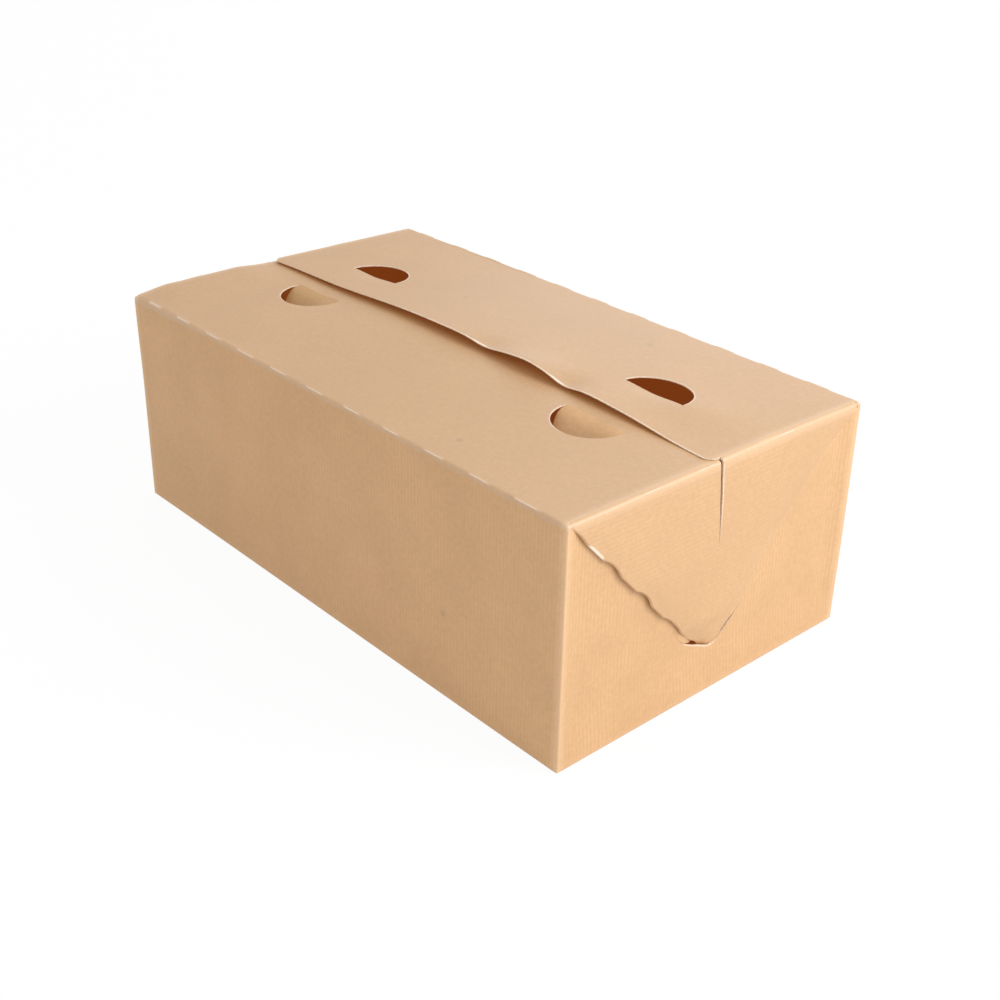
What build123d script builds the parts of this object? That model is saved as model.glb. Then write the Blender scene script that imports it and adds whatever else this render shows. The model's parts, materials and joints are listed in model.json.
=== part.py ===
from build123d import *
import os
from math import atan2, cos, radians, sin, sqrt

# Folded take-away food box of micro-flute kraft board, closed, in millimetres.
# +X runs along the long side, +Y to the back, +Z up; the origin is the middle of the base.

# Board and outside of the box
board = 0.8
length = 280.0
width = 158.0
height = 100.0
wall_fold_inner_radius = 0.7
top_fold_inner_radius = 0.4
base_fold_radius = 0.9
base_layers = 2
base_seam = 0.5

# Lid flaps: each runs past the middle of the box, and the back one lies on the front one
lid_overlap = 6.5
lid_corner_cut = 4.7
lid_rise = 4.6
lid_gap = 0.5
lid_end_gap = 0.25

# Half-round vents, each pushed in on its straight edge
vent_radius = 15.5
vent_from_end = 51.5
vent_hinge_from_seam = 17.0
vent_tab_angle = 55.0
vent_tab_root = 0.15
vent_cut_gap = 0.25

# Cuts that weaken the long top folds
nick_pitch = 24.5
nick_length = 11.0
nick_shift = -2.7
nick_width = 0.5
nick_depth = 0.45
nick_end_margin = 11.0

# Triangular ears, two boards thick, folded down over the end walls
ear_layers = 2
ear_length = 82.3
ear_gap = 0.25
ear_bow = 1.0
ear_tip_depth = 2.4
ear_tip_radius = 4.5
ear_side_gap = 0.3
scallop_pitch = 13.6
scallop_start = 13.2
scallop_length = 8.0
scallop_depth = 0.9
seam_top_width = 1.5
seam_top_shift = -1.2
seam_open_length = 34.0
seam_width = 0.3
seam_end_margin = 3.0

# Rounded slot in each end wall that takes the tip of the ear
slot_below_tip = 1.9
slot_depth = 14.5
slot_radius = 13.3
tongue_angle = 14.0
tongue_gap = 0.3

# Sizes that follow
half_length = length / 2
half_width = width / 2
wall_fold_radius = wall_fold_inner_radius + board
top_fold_radius = top_fold_inner_radius + board
base_thickness = base_layers * board
ear_thickness = ear_layers * board
end_face = half_length - ear_thickness - ear_gap
lid_fold_y = half_width - top_fold_radius
lid_span = lid_fold_y + lid_overlap
lid_step = lid_span / (lid_fold_y - lid_overlap)
back_rise = (lid_rise + board + lid_gap) * lid_step
back_end_rise = (board + lid_end_gap) * lid_step
vent_from_middle = half_length - vent_from_end
vent_tab_radius = vent_radius - vent_cut_gap
nick_count = int((length - 2 * nick_end_margin - nick_length) // nick_pitch) + 1
ear_reach = lid_fold_y - ear_side_gap
ear_lean = atan2(half_width, ear_length)
ear_apex = height - ear_length
ear_tip_z = ear_apex + ear_tip_radius * (1 / sin(ear_lean) - 1)
scallop_count = int((ear_reach / sin(ear_lean) - scallop_start) // scallop_pitch)
corner_lift = sqrt(2) - 1
slot_bottom = ear_tip_z - slot_below_tip
slot_top = slot_bottom + slot_depth
slot_half_width = slot_depth + slot_radius * corner_lift
cut_reach = half_width


def lid_share(y, side):
    """How far along the flap a point lies, from 0 at its fold to 1 at its free edge."""
    return (lid_fold_y - side * y) / lid_span


def lid_top(x, y, side, end_rise, rise):
    """Height of a flap's upper face."""
    arch = end_rise + (rise - end_rise) * (1 - (x / half_length) ** 2)
    return height + arch * lid_share(y, side)


def lid_section(y, end_z, middle_z):
    """Slice of a flap across the box, with ends cut at 45 degrees to meet the ears."""
    with BuildSketch(Plane.XZ.offset(-y)) as section:
        with BuildLine():
            inner_end = half_length - board
            if abs(middle_z - end_z) < board / 100:
                Line((-half_length, end_z), (half_length, end_z))
                Line((inner_end, end_z - board), (-inner_end, end_z - board))
            else:
                ThreePointArc((-half_length, end_z), (0, middle_z), (half_length, end_z))
                ThreePointArc(
                    (inner_end, end_z - board), (0, middle_z - board), (-inner_end, end_z - board)
                )
            Line((half_length, end_z), (inner_end, end_z - board))
            Line((-inner_end, end_z - board), (-half_length, end_z))
        make_face()
    return section.sketch


def half_round(radius, side):
    """Half circle that bulges to the side given, with its straight edge on the X axis."""
    with BuildSketch() as outline:
        with BuildLine():
            ThreePointArc((-radius, 0), (0, side * radius), (radius, 0))
            Line((radius, 0), (-radius, 0))
        make_face()
    return outline.sketch


def lid_flap(side, end_rise, rise):
    """One lid flap with its vents, from its fold (side -1 front, +1 back) to its free edge."""
    fold_y = side * lid_fold_y
    free_y = -side * lid_overlap
    hinge_y = side * vent_hinge_from_seam
    with BuildPart() as flap:
        fold_section = lid_section(fold_y, height, height)
        free_section = lid_section(free_y, height + end_rise, height + rise)
        loft(sections=[fold_section, free_section], ruled=True)
        # The free corners are cut off at 45 degrees
        with BuildSketch(Plane.XY.offset(height - cut_reach / 2)):
            for end in (-1, 1):
                with Locations((end * half_length, free_y)):
                    Rectangle(lid_corner_cut * sqrt(2), lid_corner_cut * sqrt(2), rotation=45)
        extrude(amount=cut_reach, mode=Mode.SUBTRACT)
        # Vent holes
        with BuildSketch(Plane.XY.offset(height - cut_reach / 2)):
            with Locations((-vent_from_middle, hinge_y), (vent_from_middle, hinge_y)):
                add(half_round(vent_radius, side))
        extrude(amount=cut_reach, mode=Mode.SUBTRACT)
        # Vent tabs, hanging from the straight edges
        for end in (-1, 1):
            middle_x = end * vent_from_middle
            middle_z = lid_top(middle_x, hinge_y, side, end_rise, rise) - board / 2
            reach_z = lid_top(middle_x + vent_radius, hinge_y, side, end_rise, rise) - board / 2
            along = Vector(vent_radius, 0, reach_z - middle_z).normalized()
            fall = radians(vent_tab_angle)
            down = Vector(0, side * cos(fall), -sin(fall))
            tab_plane = Plane(
                origin=(middle_x, hinge_y, middle_z), x_dir=along, z_dir=along.cross(down)
            )
            with BuildSketch(tab_plane):
                add(half_round(vent_tab_radius, 1))
                with Locations((0, -vent_tab_root / 2)):
                    Rectangle(2 * vent_tab_radius, vent_tab_root)
            extrude(amount=board / 2, both=True)
    return flap.part


def slot_outline():
    """Rounded V cut in an end wall, closed by its upper line, where the tongue hinges."""
    with BuildSketch() as outline:
        with BuildLine():
            FilletPolyline(
                (-slot_half_width, 0), (0, -slot_half_width), (slot_half_width, 0), radius=slot_radius
            )
            Line((slot_half_width, 0), (-slot_half_width, 0))
        make_face()
    return outline.sketch


def top_fold(side):
    """Quarter-round fold along a long top edge."""
    with BuildSketch(Plane.YZ) as fold:
        with Locations((side * lid_fold_y, height - top_fold_radius)):
            Circle(top_fold_radius)
            Circle(top_fold_inner_radius, mode=Mode.SUBTRACT)
        with Locations((side * (lid_fold_y + top_fold_radius / 2), height - top_fold_radius / 2)):
            Rectangle(top_fold_radius, top_fold_radius, mode=Mode.INTERSECT)
    return fold.sketch


front_lid = lid_flap(-1, 0.0, lid_rise)
back_lid = lid_flap(1, back_end_rise, back_rise)

with BuildPart() as carton:
    # Tube of four walls on a flat base
    with BuildSketch():
        RectangleRounded(2 * end_face, width, wall_fold_radius)
    extrude(amount=height - top_fold_radius)
    fillet(faces().sort_by(Axis.Z)[0].edges(), radius=base_fold_radius)
    with BuildSketch(Plane.XY.offset(base_thickness)):
        RectangleRounded(2 * (end_face - board), width - 2 * board, wall_fold_inner_radius)
    extrude(amount=height, mode=Mode.SUBTRACT)
    # The end walls reach up to the flaps between the long folds
    for end in (-1, 1):
        with Locations((end * (end_face - board / 2), 0, height - top_fold_radius)):
            Box(
                board,
                2 * (half_width - wall_fold_radius),
                top_fold_inner_radius,
                align=(Align.CENTER, Align.CENTER, Align.MIN),
            )
    # Seam where the two outer base flaps meet
    with BuildSketch():
        Rectangle(2 * end_face, base_seam)
    extrude(amount=board, mode=Mode.SUBTRACT)
    # Long top folds and the lid flaps that they carry
    for side in (-1, 1):
        extrude(top_fold(side), amount=end_face, both=True)
    add(front_lid)
    add(back_lid)
    # Cuts along the long folds
    nick_y = lid_fold_y + top_fold_radius / sqrt(2)
    nick_z = height - top_fold_radius + top_fold_radius / sqrt(2)
    for side in (-1, 1):
        with Locations(Location((nick_shift, side * nick_y, nick_z), (-45 * side, 0, 0))):
            with GridLocations(nick_pitch, 0, nick_count, 1):
                Box(nick_length, nick_width, 2 * nick_depth, mode=Mode.SUBTRACT)
    # Tuck slots, each with its tongue pushed into the box
    for end in (-1, 1):
        with BuildSketch(Plane.YZ.offset(end * (end_face - 2 * board))):
            with Locations((0, slot_top)):
                add(slot_outline())
        extrude(amount=end * 4 * board, mode=Mode.SUBTRACT)
        lean = radians(tongue_angle)
        tongue_plane = Plane(
            origin=(end * (end_face - board / 2), 0, slot_top),
            x_dir=(0, 1, 0),
            z_dir=(cos(lean), 0, -end * sin(lean)),
        )
        with BuildSketch(tongue_plane):
            add(slot_outline())
            offset(amount=-tongue_gap, mode=Mode.REPLACE)
            Rectangle(2 * (slot_half_width - 2 * board), board, align=(Align.CENTER, Align.MAX))
        extrude(amount=board / 2, both=True)

carton.part.label = "carton"

# Side view of an ear: a mitred top, a slight outward bow and a tip bent towards the slot
ear_top = height - ear_gap * sqrt(2)
ear_inner = half_length - ear_thickness


def ear_profile(inner, outer):
    """Strip of the ear's side view between two depths, counted from its inner face."""
    bow_z = (ear_top + slot_top) / 2
    starts = []
    tips = []
    with BuildSketch(Plane.XZ) as profile:
        with BuildLine():
            for depth in (inner, outer):
                x = ear_inner + depth
                start = (x, ear_top - ear_thickness + depth)
                bend = (x + ear_bow / 3, slot_top)
                tip = (x - ear_tip_depth, ear_apex)
                ThreePointArc(start, (x + ear_bow, bow_z), bend)
                Line(bend, tip)
                starts.append(start)
                tips.append(tip)
            Line(starts[0], starts[1])
            Line(tips[0], tips[1])
        make_face()
    return profile.sketch


def ear_outline():
    """Triangle with a rounded tip and a row of shallow bites along both slanting folds."""
    reach = ear_reach
    shoulder = ear_apex + reach * ear_length / half_width
    bite_radius = (scallop_length**2 / 4 + scallop_depth**2) / (2 * scallop_depth)
    bite_offset = bite_radius - scallop_depth
    with BuildSketch() as outline:
        with BuildLine():
            FilletPolyline((-reach, shoulder), (0, ear_apex), (reach, shoulder), radius=ear_tip_radius)
            Polyline((reach, shoulder), (reach, height), (-reach, height), (-reach, shoulder))
        make_face()
        for side in (-1, 1):
            for index in range(scallop_count):
                along = scallop_start + (index + 0.5) * scallop_pitch
                bite_y = along * sin(ear_lean) + bite_offset * cos(ear_lean)
                bite_z = ear_apex + along * cos(ear_lean) - bite_offset * sin(ear_lean)
                with Locations((side * bite_y, bite_z)):
                    Circle(bite_radius, mode=Mode.SUBTRACT)
    return outline.sketch


def seam_outline():
    """Centre seam of the outer layer: open at the top, closed to a hairline below."""
    open_end = height - seam_open_length
    seam_end = ear_tip_z + seam_end_margin
    with BuildSketch() as outline:
        with BuildLine():
            Polyline(
                (seam_top_shift - seam_top_width / 2, height),
                (seam_top_shift + seam_top_width / 2, height),
                (seam_width / 2, open_end),
                (seam_width / 2, seam_end),
                (-seam_width / 2, seam_end),
                (-seam_width / 2, open_end),
                close=True,
            )
        make_face()
    return outline.sketch


with BuildPart() as seam_cut:
    extrude(ear_profile(ear_thickness - board, ear_thickness + board), amount=half_width, both=True)
    with BuildSketch(Plane.YZ.offset(half_length - cut_reach / 2)):
        add(seam_outline())
    extrude(amount=cut_reach, mode=Mode.INTERSECT)

with BuildPart() as right_ear:
    extrude(ear_profile(0, ear_thickness), amount=half_width, both=True)
    with BuildSketch(Plane.YZ.offset(half_length - cut_reach / 2)):
        add(ear_outline())
    extrude(amount=cut_reach, mode=Mode.INTERSECT)
    add(seam_cut.part, mode=Mode.SUBTRACT)

right_ear.part.label = "right_tuck_ear"

with BuildPart() as left_ear:
    mirror(right_ear.part, about=Plane.YZ)

left_ear.part.label = "left_tuck_ear"

os.makedirs("parts", exist_ok=True)
export_step(carton.part, "parts/carton.step")
export_step(right_ear.part, "parts/right_tuck_ear.step")
export_step(left_ear.part, "parts/left_tuck_ear.step")
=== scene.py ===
"""Looks of a folded kraft take-away food box, in one frame with its solids.

Every visible piece is card: a flat pattern that is bent into place and given the board's thickness,
so that each one has an outer liner, an inner liner and a raw cut edge.
Sizes of board and the camera's places are millimetres. Lamps, the floor, the depth of a relief
and the finished meshes are metres.
"""
from __future__ import annotations

import json
import logging
import math
from dataclasses import dataclass, field
from enum import Enum
from functools import cached_property
from typing import Any, Callable, NamedTuple, Sequence

import bmesh
import bpy
import numpy as np
from mathutils import Matrix, Vector, noise
from mathutils.geometry import delaunay_2d_cdt

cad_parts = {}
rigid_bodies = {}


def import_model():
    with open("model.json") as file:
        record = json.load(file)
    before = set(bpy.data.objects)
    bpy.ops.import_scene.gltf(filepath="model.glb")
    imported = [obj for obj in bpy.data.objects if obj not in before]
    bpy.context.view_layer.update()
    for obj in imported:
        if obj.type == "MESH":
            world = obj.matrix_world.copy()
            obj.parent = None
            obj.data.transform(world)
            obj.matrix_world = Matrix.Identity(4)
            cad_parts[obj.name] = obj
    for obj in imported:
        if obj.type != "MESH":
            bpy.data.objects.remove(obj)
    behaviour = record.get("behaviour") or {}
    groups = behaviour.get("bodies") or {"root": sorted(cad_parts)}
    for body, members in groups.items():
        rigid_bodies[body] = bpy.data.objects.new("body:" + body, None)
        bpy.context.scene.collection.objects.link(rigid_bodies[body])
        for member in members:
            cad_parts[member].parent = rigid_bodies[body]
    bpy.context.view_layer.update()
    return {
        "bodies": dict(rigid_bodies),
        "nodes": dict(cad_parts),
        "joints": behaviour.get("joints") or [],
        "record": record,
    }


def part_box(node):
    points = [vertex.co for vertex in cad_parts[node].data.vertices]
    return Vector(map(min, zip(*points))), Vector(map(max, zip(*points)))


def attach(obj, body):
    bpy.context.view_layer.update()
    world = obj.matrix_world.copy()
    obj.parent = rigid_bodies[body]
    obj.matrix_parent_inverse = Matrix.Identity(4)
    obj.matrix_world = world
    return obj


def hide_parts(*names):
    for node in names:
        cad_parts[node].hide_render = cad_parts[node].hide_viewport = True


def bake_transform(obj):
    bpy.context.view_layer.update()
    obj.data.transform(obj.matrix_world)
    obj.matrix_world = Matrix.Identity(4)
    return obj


LOG = logging.getLogger("food_box")
MM = 0.001
TINY = 1e-6
BOARD_UV = "board"
# Mask of bare fibres at cuts; on the lid flaps it also carries painted highlights and a painted sheen along
# cut edges.
BARE_AND_HIGHLIGHT = "bare"
# Mask of paler folds: worn board with a painted highlight.
WEAR_AND_HIGHLIGHT = "wear"
FIBRE_STRETCH = (2600.0, 700.0, 1.0)
WHITE = (1.0, 1.0, 1.0, 1.0)
# Step for the facing of an end fold, whose first pattern axis is a share and not a length.
FOLD_STEP = 0.005

# Sockets of the Mix node when it mixes colours.
MIX_SHARE, MIX_LOW, MIX_HIGH = 0, 6, 7
MIX_RESULT = 2

Point = tuple[float, float]
Triple = tuple[float, float, float]
Colour = tuple[float, float, float, float]
Piece = bpy.types.Object
Socket = bpy.types.NodeSocket
Settings = dict[str, Any] | None
Inputs = dict[str | int, Any] | None
Bend = Callable[[float, float], Vector]
Mask = Callable[[float, float], float]


class Half(Enum):
    """One of two opposite halves of the box."""

    @property
    def label(self) -> str:
        """Word for the half in the names of pieces."""
        return self.name.lower()


class Side(Half):
    """The two long sides of the box."""

    FRONT = -1
    BACK = 1


class End(Half):
    """The two short ends of the box."""

    LEFT = -1
    RIGHT = 1


def smooth(low: float, high: float, value: float) -> float:
    """Eases from 0 at low to 1 at high.

    Args:
        low: Value where the ramp starts.
        high: Value where the ramp ends.
        value: Value to ease.

    Returns:
        A share between 0 and 1.
    """
    share = min(1.0, max(0.0, (value - low) / (high - low)))
    return share * share * (3.0 - 2.0 * share)


def bump(value: float, middle: float, reach: float) -> float:
    """Bell that is 1 at its middle and falls away over its reach."""
    return math.exp(-(((value - middle) / reach) ** 2))


def ripple(seed: float, a: float, b: float) -> float:
    """Smooth seeded wander between about -1 and 1 over two coordinates."""
    return noise.noise(Vector((a, b, seed)))


@dataclass(frozen=True)
class BoxSizes:
    """Sizes of the folded box; the first three are read from the frame."""

    half_length: float
    half_width: float
    height: float
    end_swell: float = 0.8
    side_swell: float = 0.4
    board: float = 0.8
    ear_gap: float = 0.25
    ear_layers: int = 2
    wall_fold: float = 0.8
    top_fold: float = 1.2
    end_fold: float = 1.8
    base_fold: float = 0.4
    base_seam: float = 0.5
    lid_overlap: float = 6.5
    lid_corner_cut: float = 4.7
    lid_rise: float = 4.6
    lid_gap: float = 0.5
    lid_end_gap: float = 0.25
    vent_radius: float = 15.5
    vent_from_end: float = 52.3
    vent_hinge: float = 17.0
    vent_cut_gap: float = 0.25
    nick_pitch: float = 24.45
    nick_length: float = 10.0
    nick_shift: float = -2.7
    nick_count: int = 11
    ear_length: float = 82.3
    ear_bow: float = 1.0
    ear_tip_depth: float = 2.6
    ear_tip_radius: float = 4.5
    slot_tip_gap: float = 1.0
    slot_depth: float = 14.5
    tongue_angle: float = 20.0

    @classmethod
    def from_frame(cls, frame: dict[str, Any]) -> BoxSizes:
        """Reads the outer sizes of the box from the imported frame.


        Returns:
            The sizes in millimetres.
        """
        fold = next(joint for joint in frame["joints"] if joint["name"] == "right_ear_fold")
        _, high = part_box("carton")
        return cls(
            half_length=fold["pos_m"][0] / MM + cls.end_swell,
            half_width=high[1] / MM + cls.side_swell,
            height=fold["pos_m"][2] / MM,
        )

    @property
    def end_face(self) -> float:
        """Outer face of an end wall."""
        return self.half_length - self.ear_layers * self.board - self.ear_gap

    @property
    def lid_fold_y(self) -> float:
        """Where a lid flap leaves its long fold."""
        return self.half_width - self.top_fold

    @property
    def lid_span(self) -> float:
        """Length of a lid flap from its fold to its free edge."""
        return self.lid_fold_y + self.lid_overlap

    @property
    def lid_end(self) -> float:
        """Where a lid flap turns into the fold that carries an ear."""
        return self.half_length - self.end_fold

    @property
    def lid_step(self) -> float:
        """How much more the upper flap rises than the edge of the lower one that it clears."""
        return self.lid_span / (self.lid_fold_y - self.lid_overlap)

    @property
    def vent_middle(self) -> float:
        """Distance of a vent from the middle of the box."""
        return self.half_length - self.vent_from_end

    @property
    def ear_apex(self) -> float:
        """Height where the slanting edges of an ear would meet."""
        return self.height - self.ear_length

    @property
    def ear_lean(self) -> float:
        """Half of the angle between an ear's slanting edges, in radians."""
        return math.atan2(self.half_width, self.ear_length)

    @property
    def ear_tip(self) -> float:
        """Lowest point of an ear's rounded tip."""
        return self.ear_apex + self.ear_tip_radius * (1.0 / math.sin(self.ear_lean) - 1.0)

    @property
    def ear_top(self) -> float:
        """Height where an ear leaves its fold."""
        return self.height - self.end_fold

    @property
    def slot_bottom(self) -> float:
        """Lowest point of a tuck slot."""
        return self.ear_tip - self.slot_tip_gap

    @property
    def slot_top(self) -> float:
        """Height of the line on which a slot's tongue bends."""
        return self.slot_bottom + self.slot_depth


@dataclass
class FlatPattern:
    """Outline of a flat piece of card, with the rows and columns where it can bend."""

    outline: list[Point]
    columns: Sequence[float]
    rows: Sequence[float]
    holes: list[list[Point]] = field(default_factory=list)
    extra: list[Point] = field(default_factory=list)
    step: float = 1.5
    margin: float = 0.2

    def refined(self, loop: list[Point]) -> list[Point]:
        """Adds points to a loop where it crosses rows and columns.

        Args:
            loop: Corners of a closed outline.

        Returns:
            The same outline with more points along it.
        """
        points: list[Point] = []
        for (u0, v0), (u1, v1) in zip(loop, loop[1:] + loop[:1]):
            length = math.hypot(u1 - u0, v1 - v0)
            if length < TINY:
                continue
            if abs(u1 - u0) < TINY:
                shares = [(row - v0) / (v1 - v0) for row in self.rows]
            elif abs(v1 - v0) < TINY:
                shares = [(column - u0) / (u1 - u0) for column in self.columns]
            else:
                count = max(1, math.ceil(length / self.step))
                shares = [index / count for index in range(1, count)]
            gap = self.margin / 2.0 / length
            kept = sorted(share for share in shares if gap < share < 1.0 - gap)
            points.append((u0, v0))
            points.extend((u0 + (u1 - u0) * share, v0 + (v1 - v0) * share) for share in kept)
        return points

    @staticmethod
    def inside(loop: list[Point], points: np.ndarray) -> np.ndarray:
        """Tells which points lie inside a closed outline.

        Args:
            loop: Corners of the outline.
            points: Array of points, one per row.

        Returns:
            A truth value per point.
        """
        found = np.zeros(len(points), bool)
        for (u0, v0), (u1, v1) in zip(loop, loop[1:] + loop[:1]):
            if abs(v1 - v0) < TINY:
                continue
            crosses = (points[:, 1] < v0) != (points[:, 1] < v1)
            at = u0 + (points[:, 1] - v0) * (u1 - u0) / (v1 - v0)
            found ^= crosses & (points[:, 0] < at)
        return found

    @staticmethod
    def distance(loop: list[Point], points: np.ndarray) -> np.ndarray:
        """Measures how far points lie from a closed outline.

        Args:
            loop: Corners of the outline.
            points: Array of points, one per row.

        Returns:
            A distance per point.
        """
        nearest = np.full(len(points), np.inf)
        for start, end in zip(loop, loop[1:] + loop[:1]):
            a = np.array(start)
            d = np.array(end) - a
            share = np.clip(((points - a) @ d) / max(TINY, float(d @ d)), 0.0, 1.0)
            nearest = np.minimum(nearest, np.linalg.norm(points - a - share[:, None] * d, axis=1))
        return nearest

    def triangulate(self) -> tuple[list[Point], list[tuple[int, int, int]]]:
        """Cuts the pattern into triangles that follow its rows, columns, outline and holes.

        Returns:
            The points and the triangles, each turning anticlockwise.
        """
        loops = [self.refined(loop) for loop in (self.outline, *self.holes)]
        points: list[Point] = []
        edges: list[tuple[int, int]] = []
        for loop in loops:
            first = len(points)
            points.extend(loop)
            edges.extend((first + i, first + (i + 1) % len(loop)) for i in range(len(loop)))
        grid = np.array([(u, v) for u in self.columns for v in self.rows] + self.extra)
        keep = self.inside(loops[0], grid)
        for index, loop in enumerate(loops):
            if index:
                keep &= ~self.inside(loop, grid)
            keep &= self.distance(loop, grid) > self.margin
        points.extend((float(u), float(v)) for u, v in grid[keep])
        vectors = [Vector(point) for point in points]
        made, _, faces, *_ = delaunay_2d_cdt(vectors, edges, [], 1, TINY)
        flat = [(vector.x, vector.y) for vector in made]
        middles = np.array([np.mean([flat[i] for i in face], axis=0) for face in faces])
        good = np.ones(len(faces), bool)
        for loop in loops[1:]:
            good &= ~self.inside(loop, middles)
        triangles = []
        for face, wanted in zip(faces, good):
            if not wanted:
                continue
            (u0, v0), (u1, v1), (u2, v2) = (flat[i] for i in face)
            turn = (u1 - u0) * (v2 - v0) - (u2 - u0) * (v1 - v0)
            triangles.append(tuple(face) if turn > 0 else tuple(reversed(face)))
        return flat, triangles


@dataclass(frozen=True)
class BoardFinish:
    """The three finishes that a piece of board shows."""

    liner: bpy.types.Material
    inside: bpy.types.Material
    raw_edge: bpy.types.Material


@dataclass
class CardSheet:
    """A piece of board bent from a flat pattern."""

    name: str
    pattern: FlatPattern
    bend: Bend
    thickness: float
    outward: int = 1
    # Masks of bare fibres and of worn folds, which on some pieces also carry painted highlights.
    bare: Mask | None = None
    wear: Mask | None = None
    joined_columns: tuple[float, ...] = ()
    join_reach: float = 0.001
    step_u: float = 0.02
    step_v: float = 0.02

    def facing(self, u: float, v: float) -> Vector:
        """Direction in which the outer liner faces at a spot of the pattern.

        Args:
            u: First coordinate on the flat pattern.
            v: Second coordinate on the flat pattern.

        Returns:
            A direction of length 1.
        """
        along = self.bend(u + self.step_u, v) - self.bend(u - self.step_u, v)
        across = self.bend(u, v + self.step_v) - self.bend(u, v - self.step_v)
        return along.cross(across).normalized() * self.outward

    def is_joined(self, a: Point, b: Point) -> bool:
        """Tells whether an edge of the pattern is where the sheet closes on itself."""
        return any(max(abs(a[0] - u), abs(b[0] - u)) < self.join_reach for u in self.joined_columns)

    def build(self, finish: BoardFinish) -> Piece:
        """Makes the bent sheet as a mesh object.

        Args:
            finish: Finishes of its two liners and its cut edge.

        Returns:
            The new object, in the row frame.
        """
        flat, triangles = self.pattern.triangulate()
        used = sorted({index for triangle in triangles for index in triangle})
        place = {index: count for count, index in enumerate(used)}
        flat = [flat[index] for index in used]
        triangles = [tuple(place[index] for index in triangle) for triangle in triangles]
        if self.outward < 0:
            triangles = [triangle[::-1] for triangle in triangles]
        count = len(flat)
        outer = [self.bend(u, v) for u, v in flat]
        inner = [p - self.facing(u, v) * self.thickness for p, (u, v) in zip(outer, flat)]
        faces: list[tuple[int, ...]] = list(triangles)
        faces.extend((a + count, c + count, b + count) for a, b, c in triangles)
        directed = {(t[i], t[(i + 1) % 3]) for t in triangles for i in range(3)}
        rim = [(a, b) for a, b in directed if (b, a) not in directed]
        rim = sorted(edge for edge in rim if not self.is_joined(flat[edge[0]], flat[edge[1]]))
        faces.extend((a, a + count, b + count, b) for a, b in rim)
        mesh = bpy.data.meshes.new(self.name)
        mesh.from_pydata([tuple(p * MM) for p in outer + inner], [], faces)
        kinds = [0] * len(triangles) + [1] * len(triangles) + [2] * len(rim)
        mesh.polygons.foreach_set("material_index", kinds)
        mesh.polygons.foreach_set("use_smooth", [True] * len(faces))
        for material in (finish.liner, finish.inside, finish.raw_edge):
            mesh.materials.append(material)
        self._mark_rims(mesh, rim, count)
        self._write_fields(mesh, flat)
        if self.joined_columns:
            self._close(mesh)
        mesh.update()
        obj = bpy.data.objects.new(self.name, mesh)
        bpy.context.scene.collection.objects.link(obj)
        return obj

    @staticmethod
    def _mark_rims(mesh: bpy.types.Mesh, rim: list[tuple[int, int]], count: int) -> None:
        """Keeps the liners and the cut edge from shading into each other.

        Args:
            mesh: Mesh of the sheet.
            rim: Edges that bound the outer liner.
            count: Number of points of the outer liner.
        """
        sharp = {frozenset(edge) for edge in rim}
        sharp |= {frozenset((a + count, b + count)) for a, b in rim}
        marks = [frozenset(edge.vertices) in sharp for edge in mesh.edges]
        mesh.edges.foreach_set("use_edge_sharp", marks)

    def _write_fields(self, mesh: bpy.types.Mesh, flat: list[Point]) -> None:
        """Stores the pattern's coordinates and its masks on the mesh.

        Args:
            mesh: Mesh of the sheet.
            flat: Points of the flat pattern.
        """
        layer = mesh.uv_layers.new(name=BOARD_UV)
        places = flat + flat
        uv = [c * MM for loop in mesh.loops for c in places[loop.vertex_index]]
        layer.data.foreach_set("uv", uv)
        for name, mask in ((BARE_AND_HIGHLIGHT, self.bare), (WEAR_AND_HIGHLIGHT, self.wear)):
            field_layer = mesh.attributes.new(name, "FLOAT", "POINT")
            outer = [mask(u, v) if mask else 0.0 for u, v in flat]
            field_layer.data.foreach_set("value", outer + [0.0] * len(flat))

    def _close(self, mesh: bpy.types.Mesh) -> None:
        """Joins the two columns where the sheet meets itself.

        Args:
            mesh: Mesh of the sheet.
        """
        shell = bmesh.new()
        shell.from_mesh(mesh)
        bmesh.ops.remove_doubles(shell, verts=shell.verts, dist=MM * self.join_reach)
        shell.to_mesh(mesh)
        shell.free()


def spread(low: float, high: float, spacing: float) -> list[float]:
    """Evenly spaced values from low to high, about spacing apart."""
    count = max(1, round((high - low) / spacing))
    return [low + (high - low) * index / count for index in range(count + 1)]


def arc(middle: Point, radius: float, start: float, end: float, count: int) -> list[Point]:
    """Points of a round stretch.

    Args:
        middle: Centre of the arc.
        radius: Its radius.
        start: First angle in degrees.
        end: Last angle in degrees.
        count: Number of steps.

    Returns:
        The points from the first angle to the last.
    """
    angles = [math.radians(start + (end - start) * index / count) for index in range(count + 1)]
    return [(middle[0] + radius * math.cos(a), middle[1] + radius * math.sin(a)) for a in angles]


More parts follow.
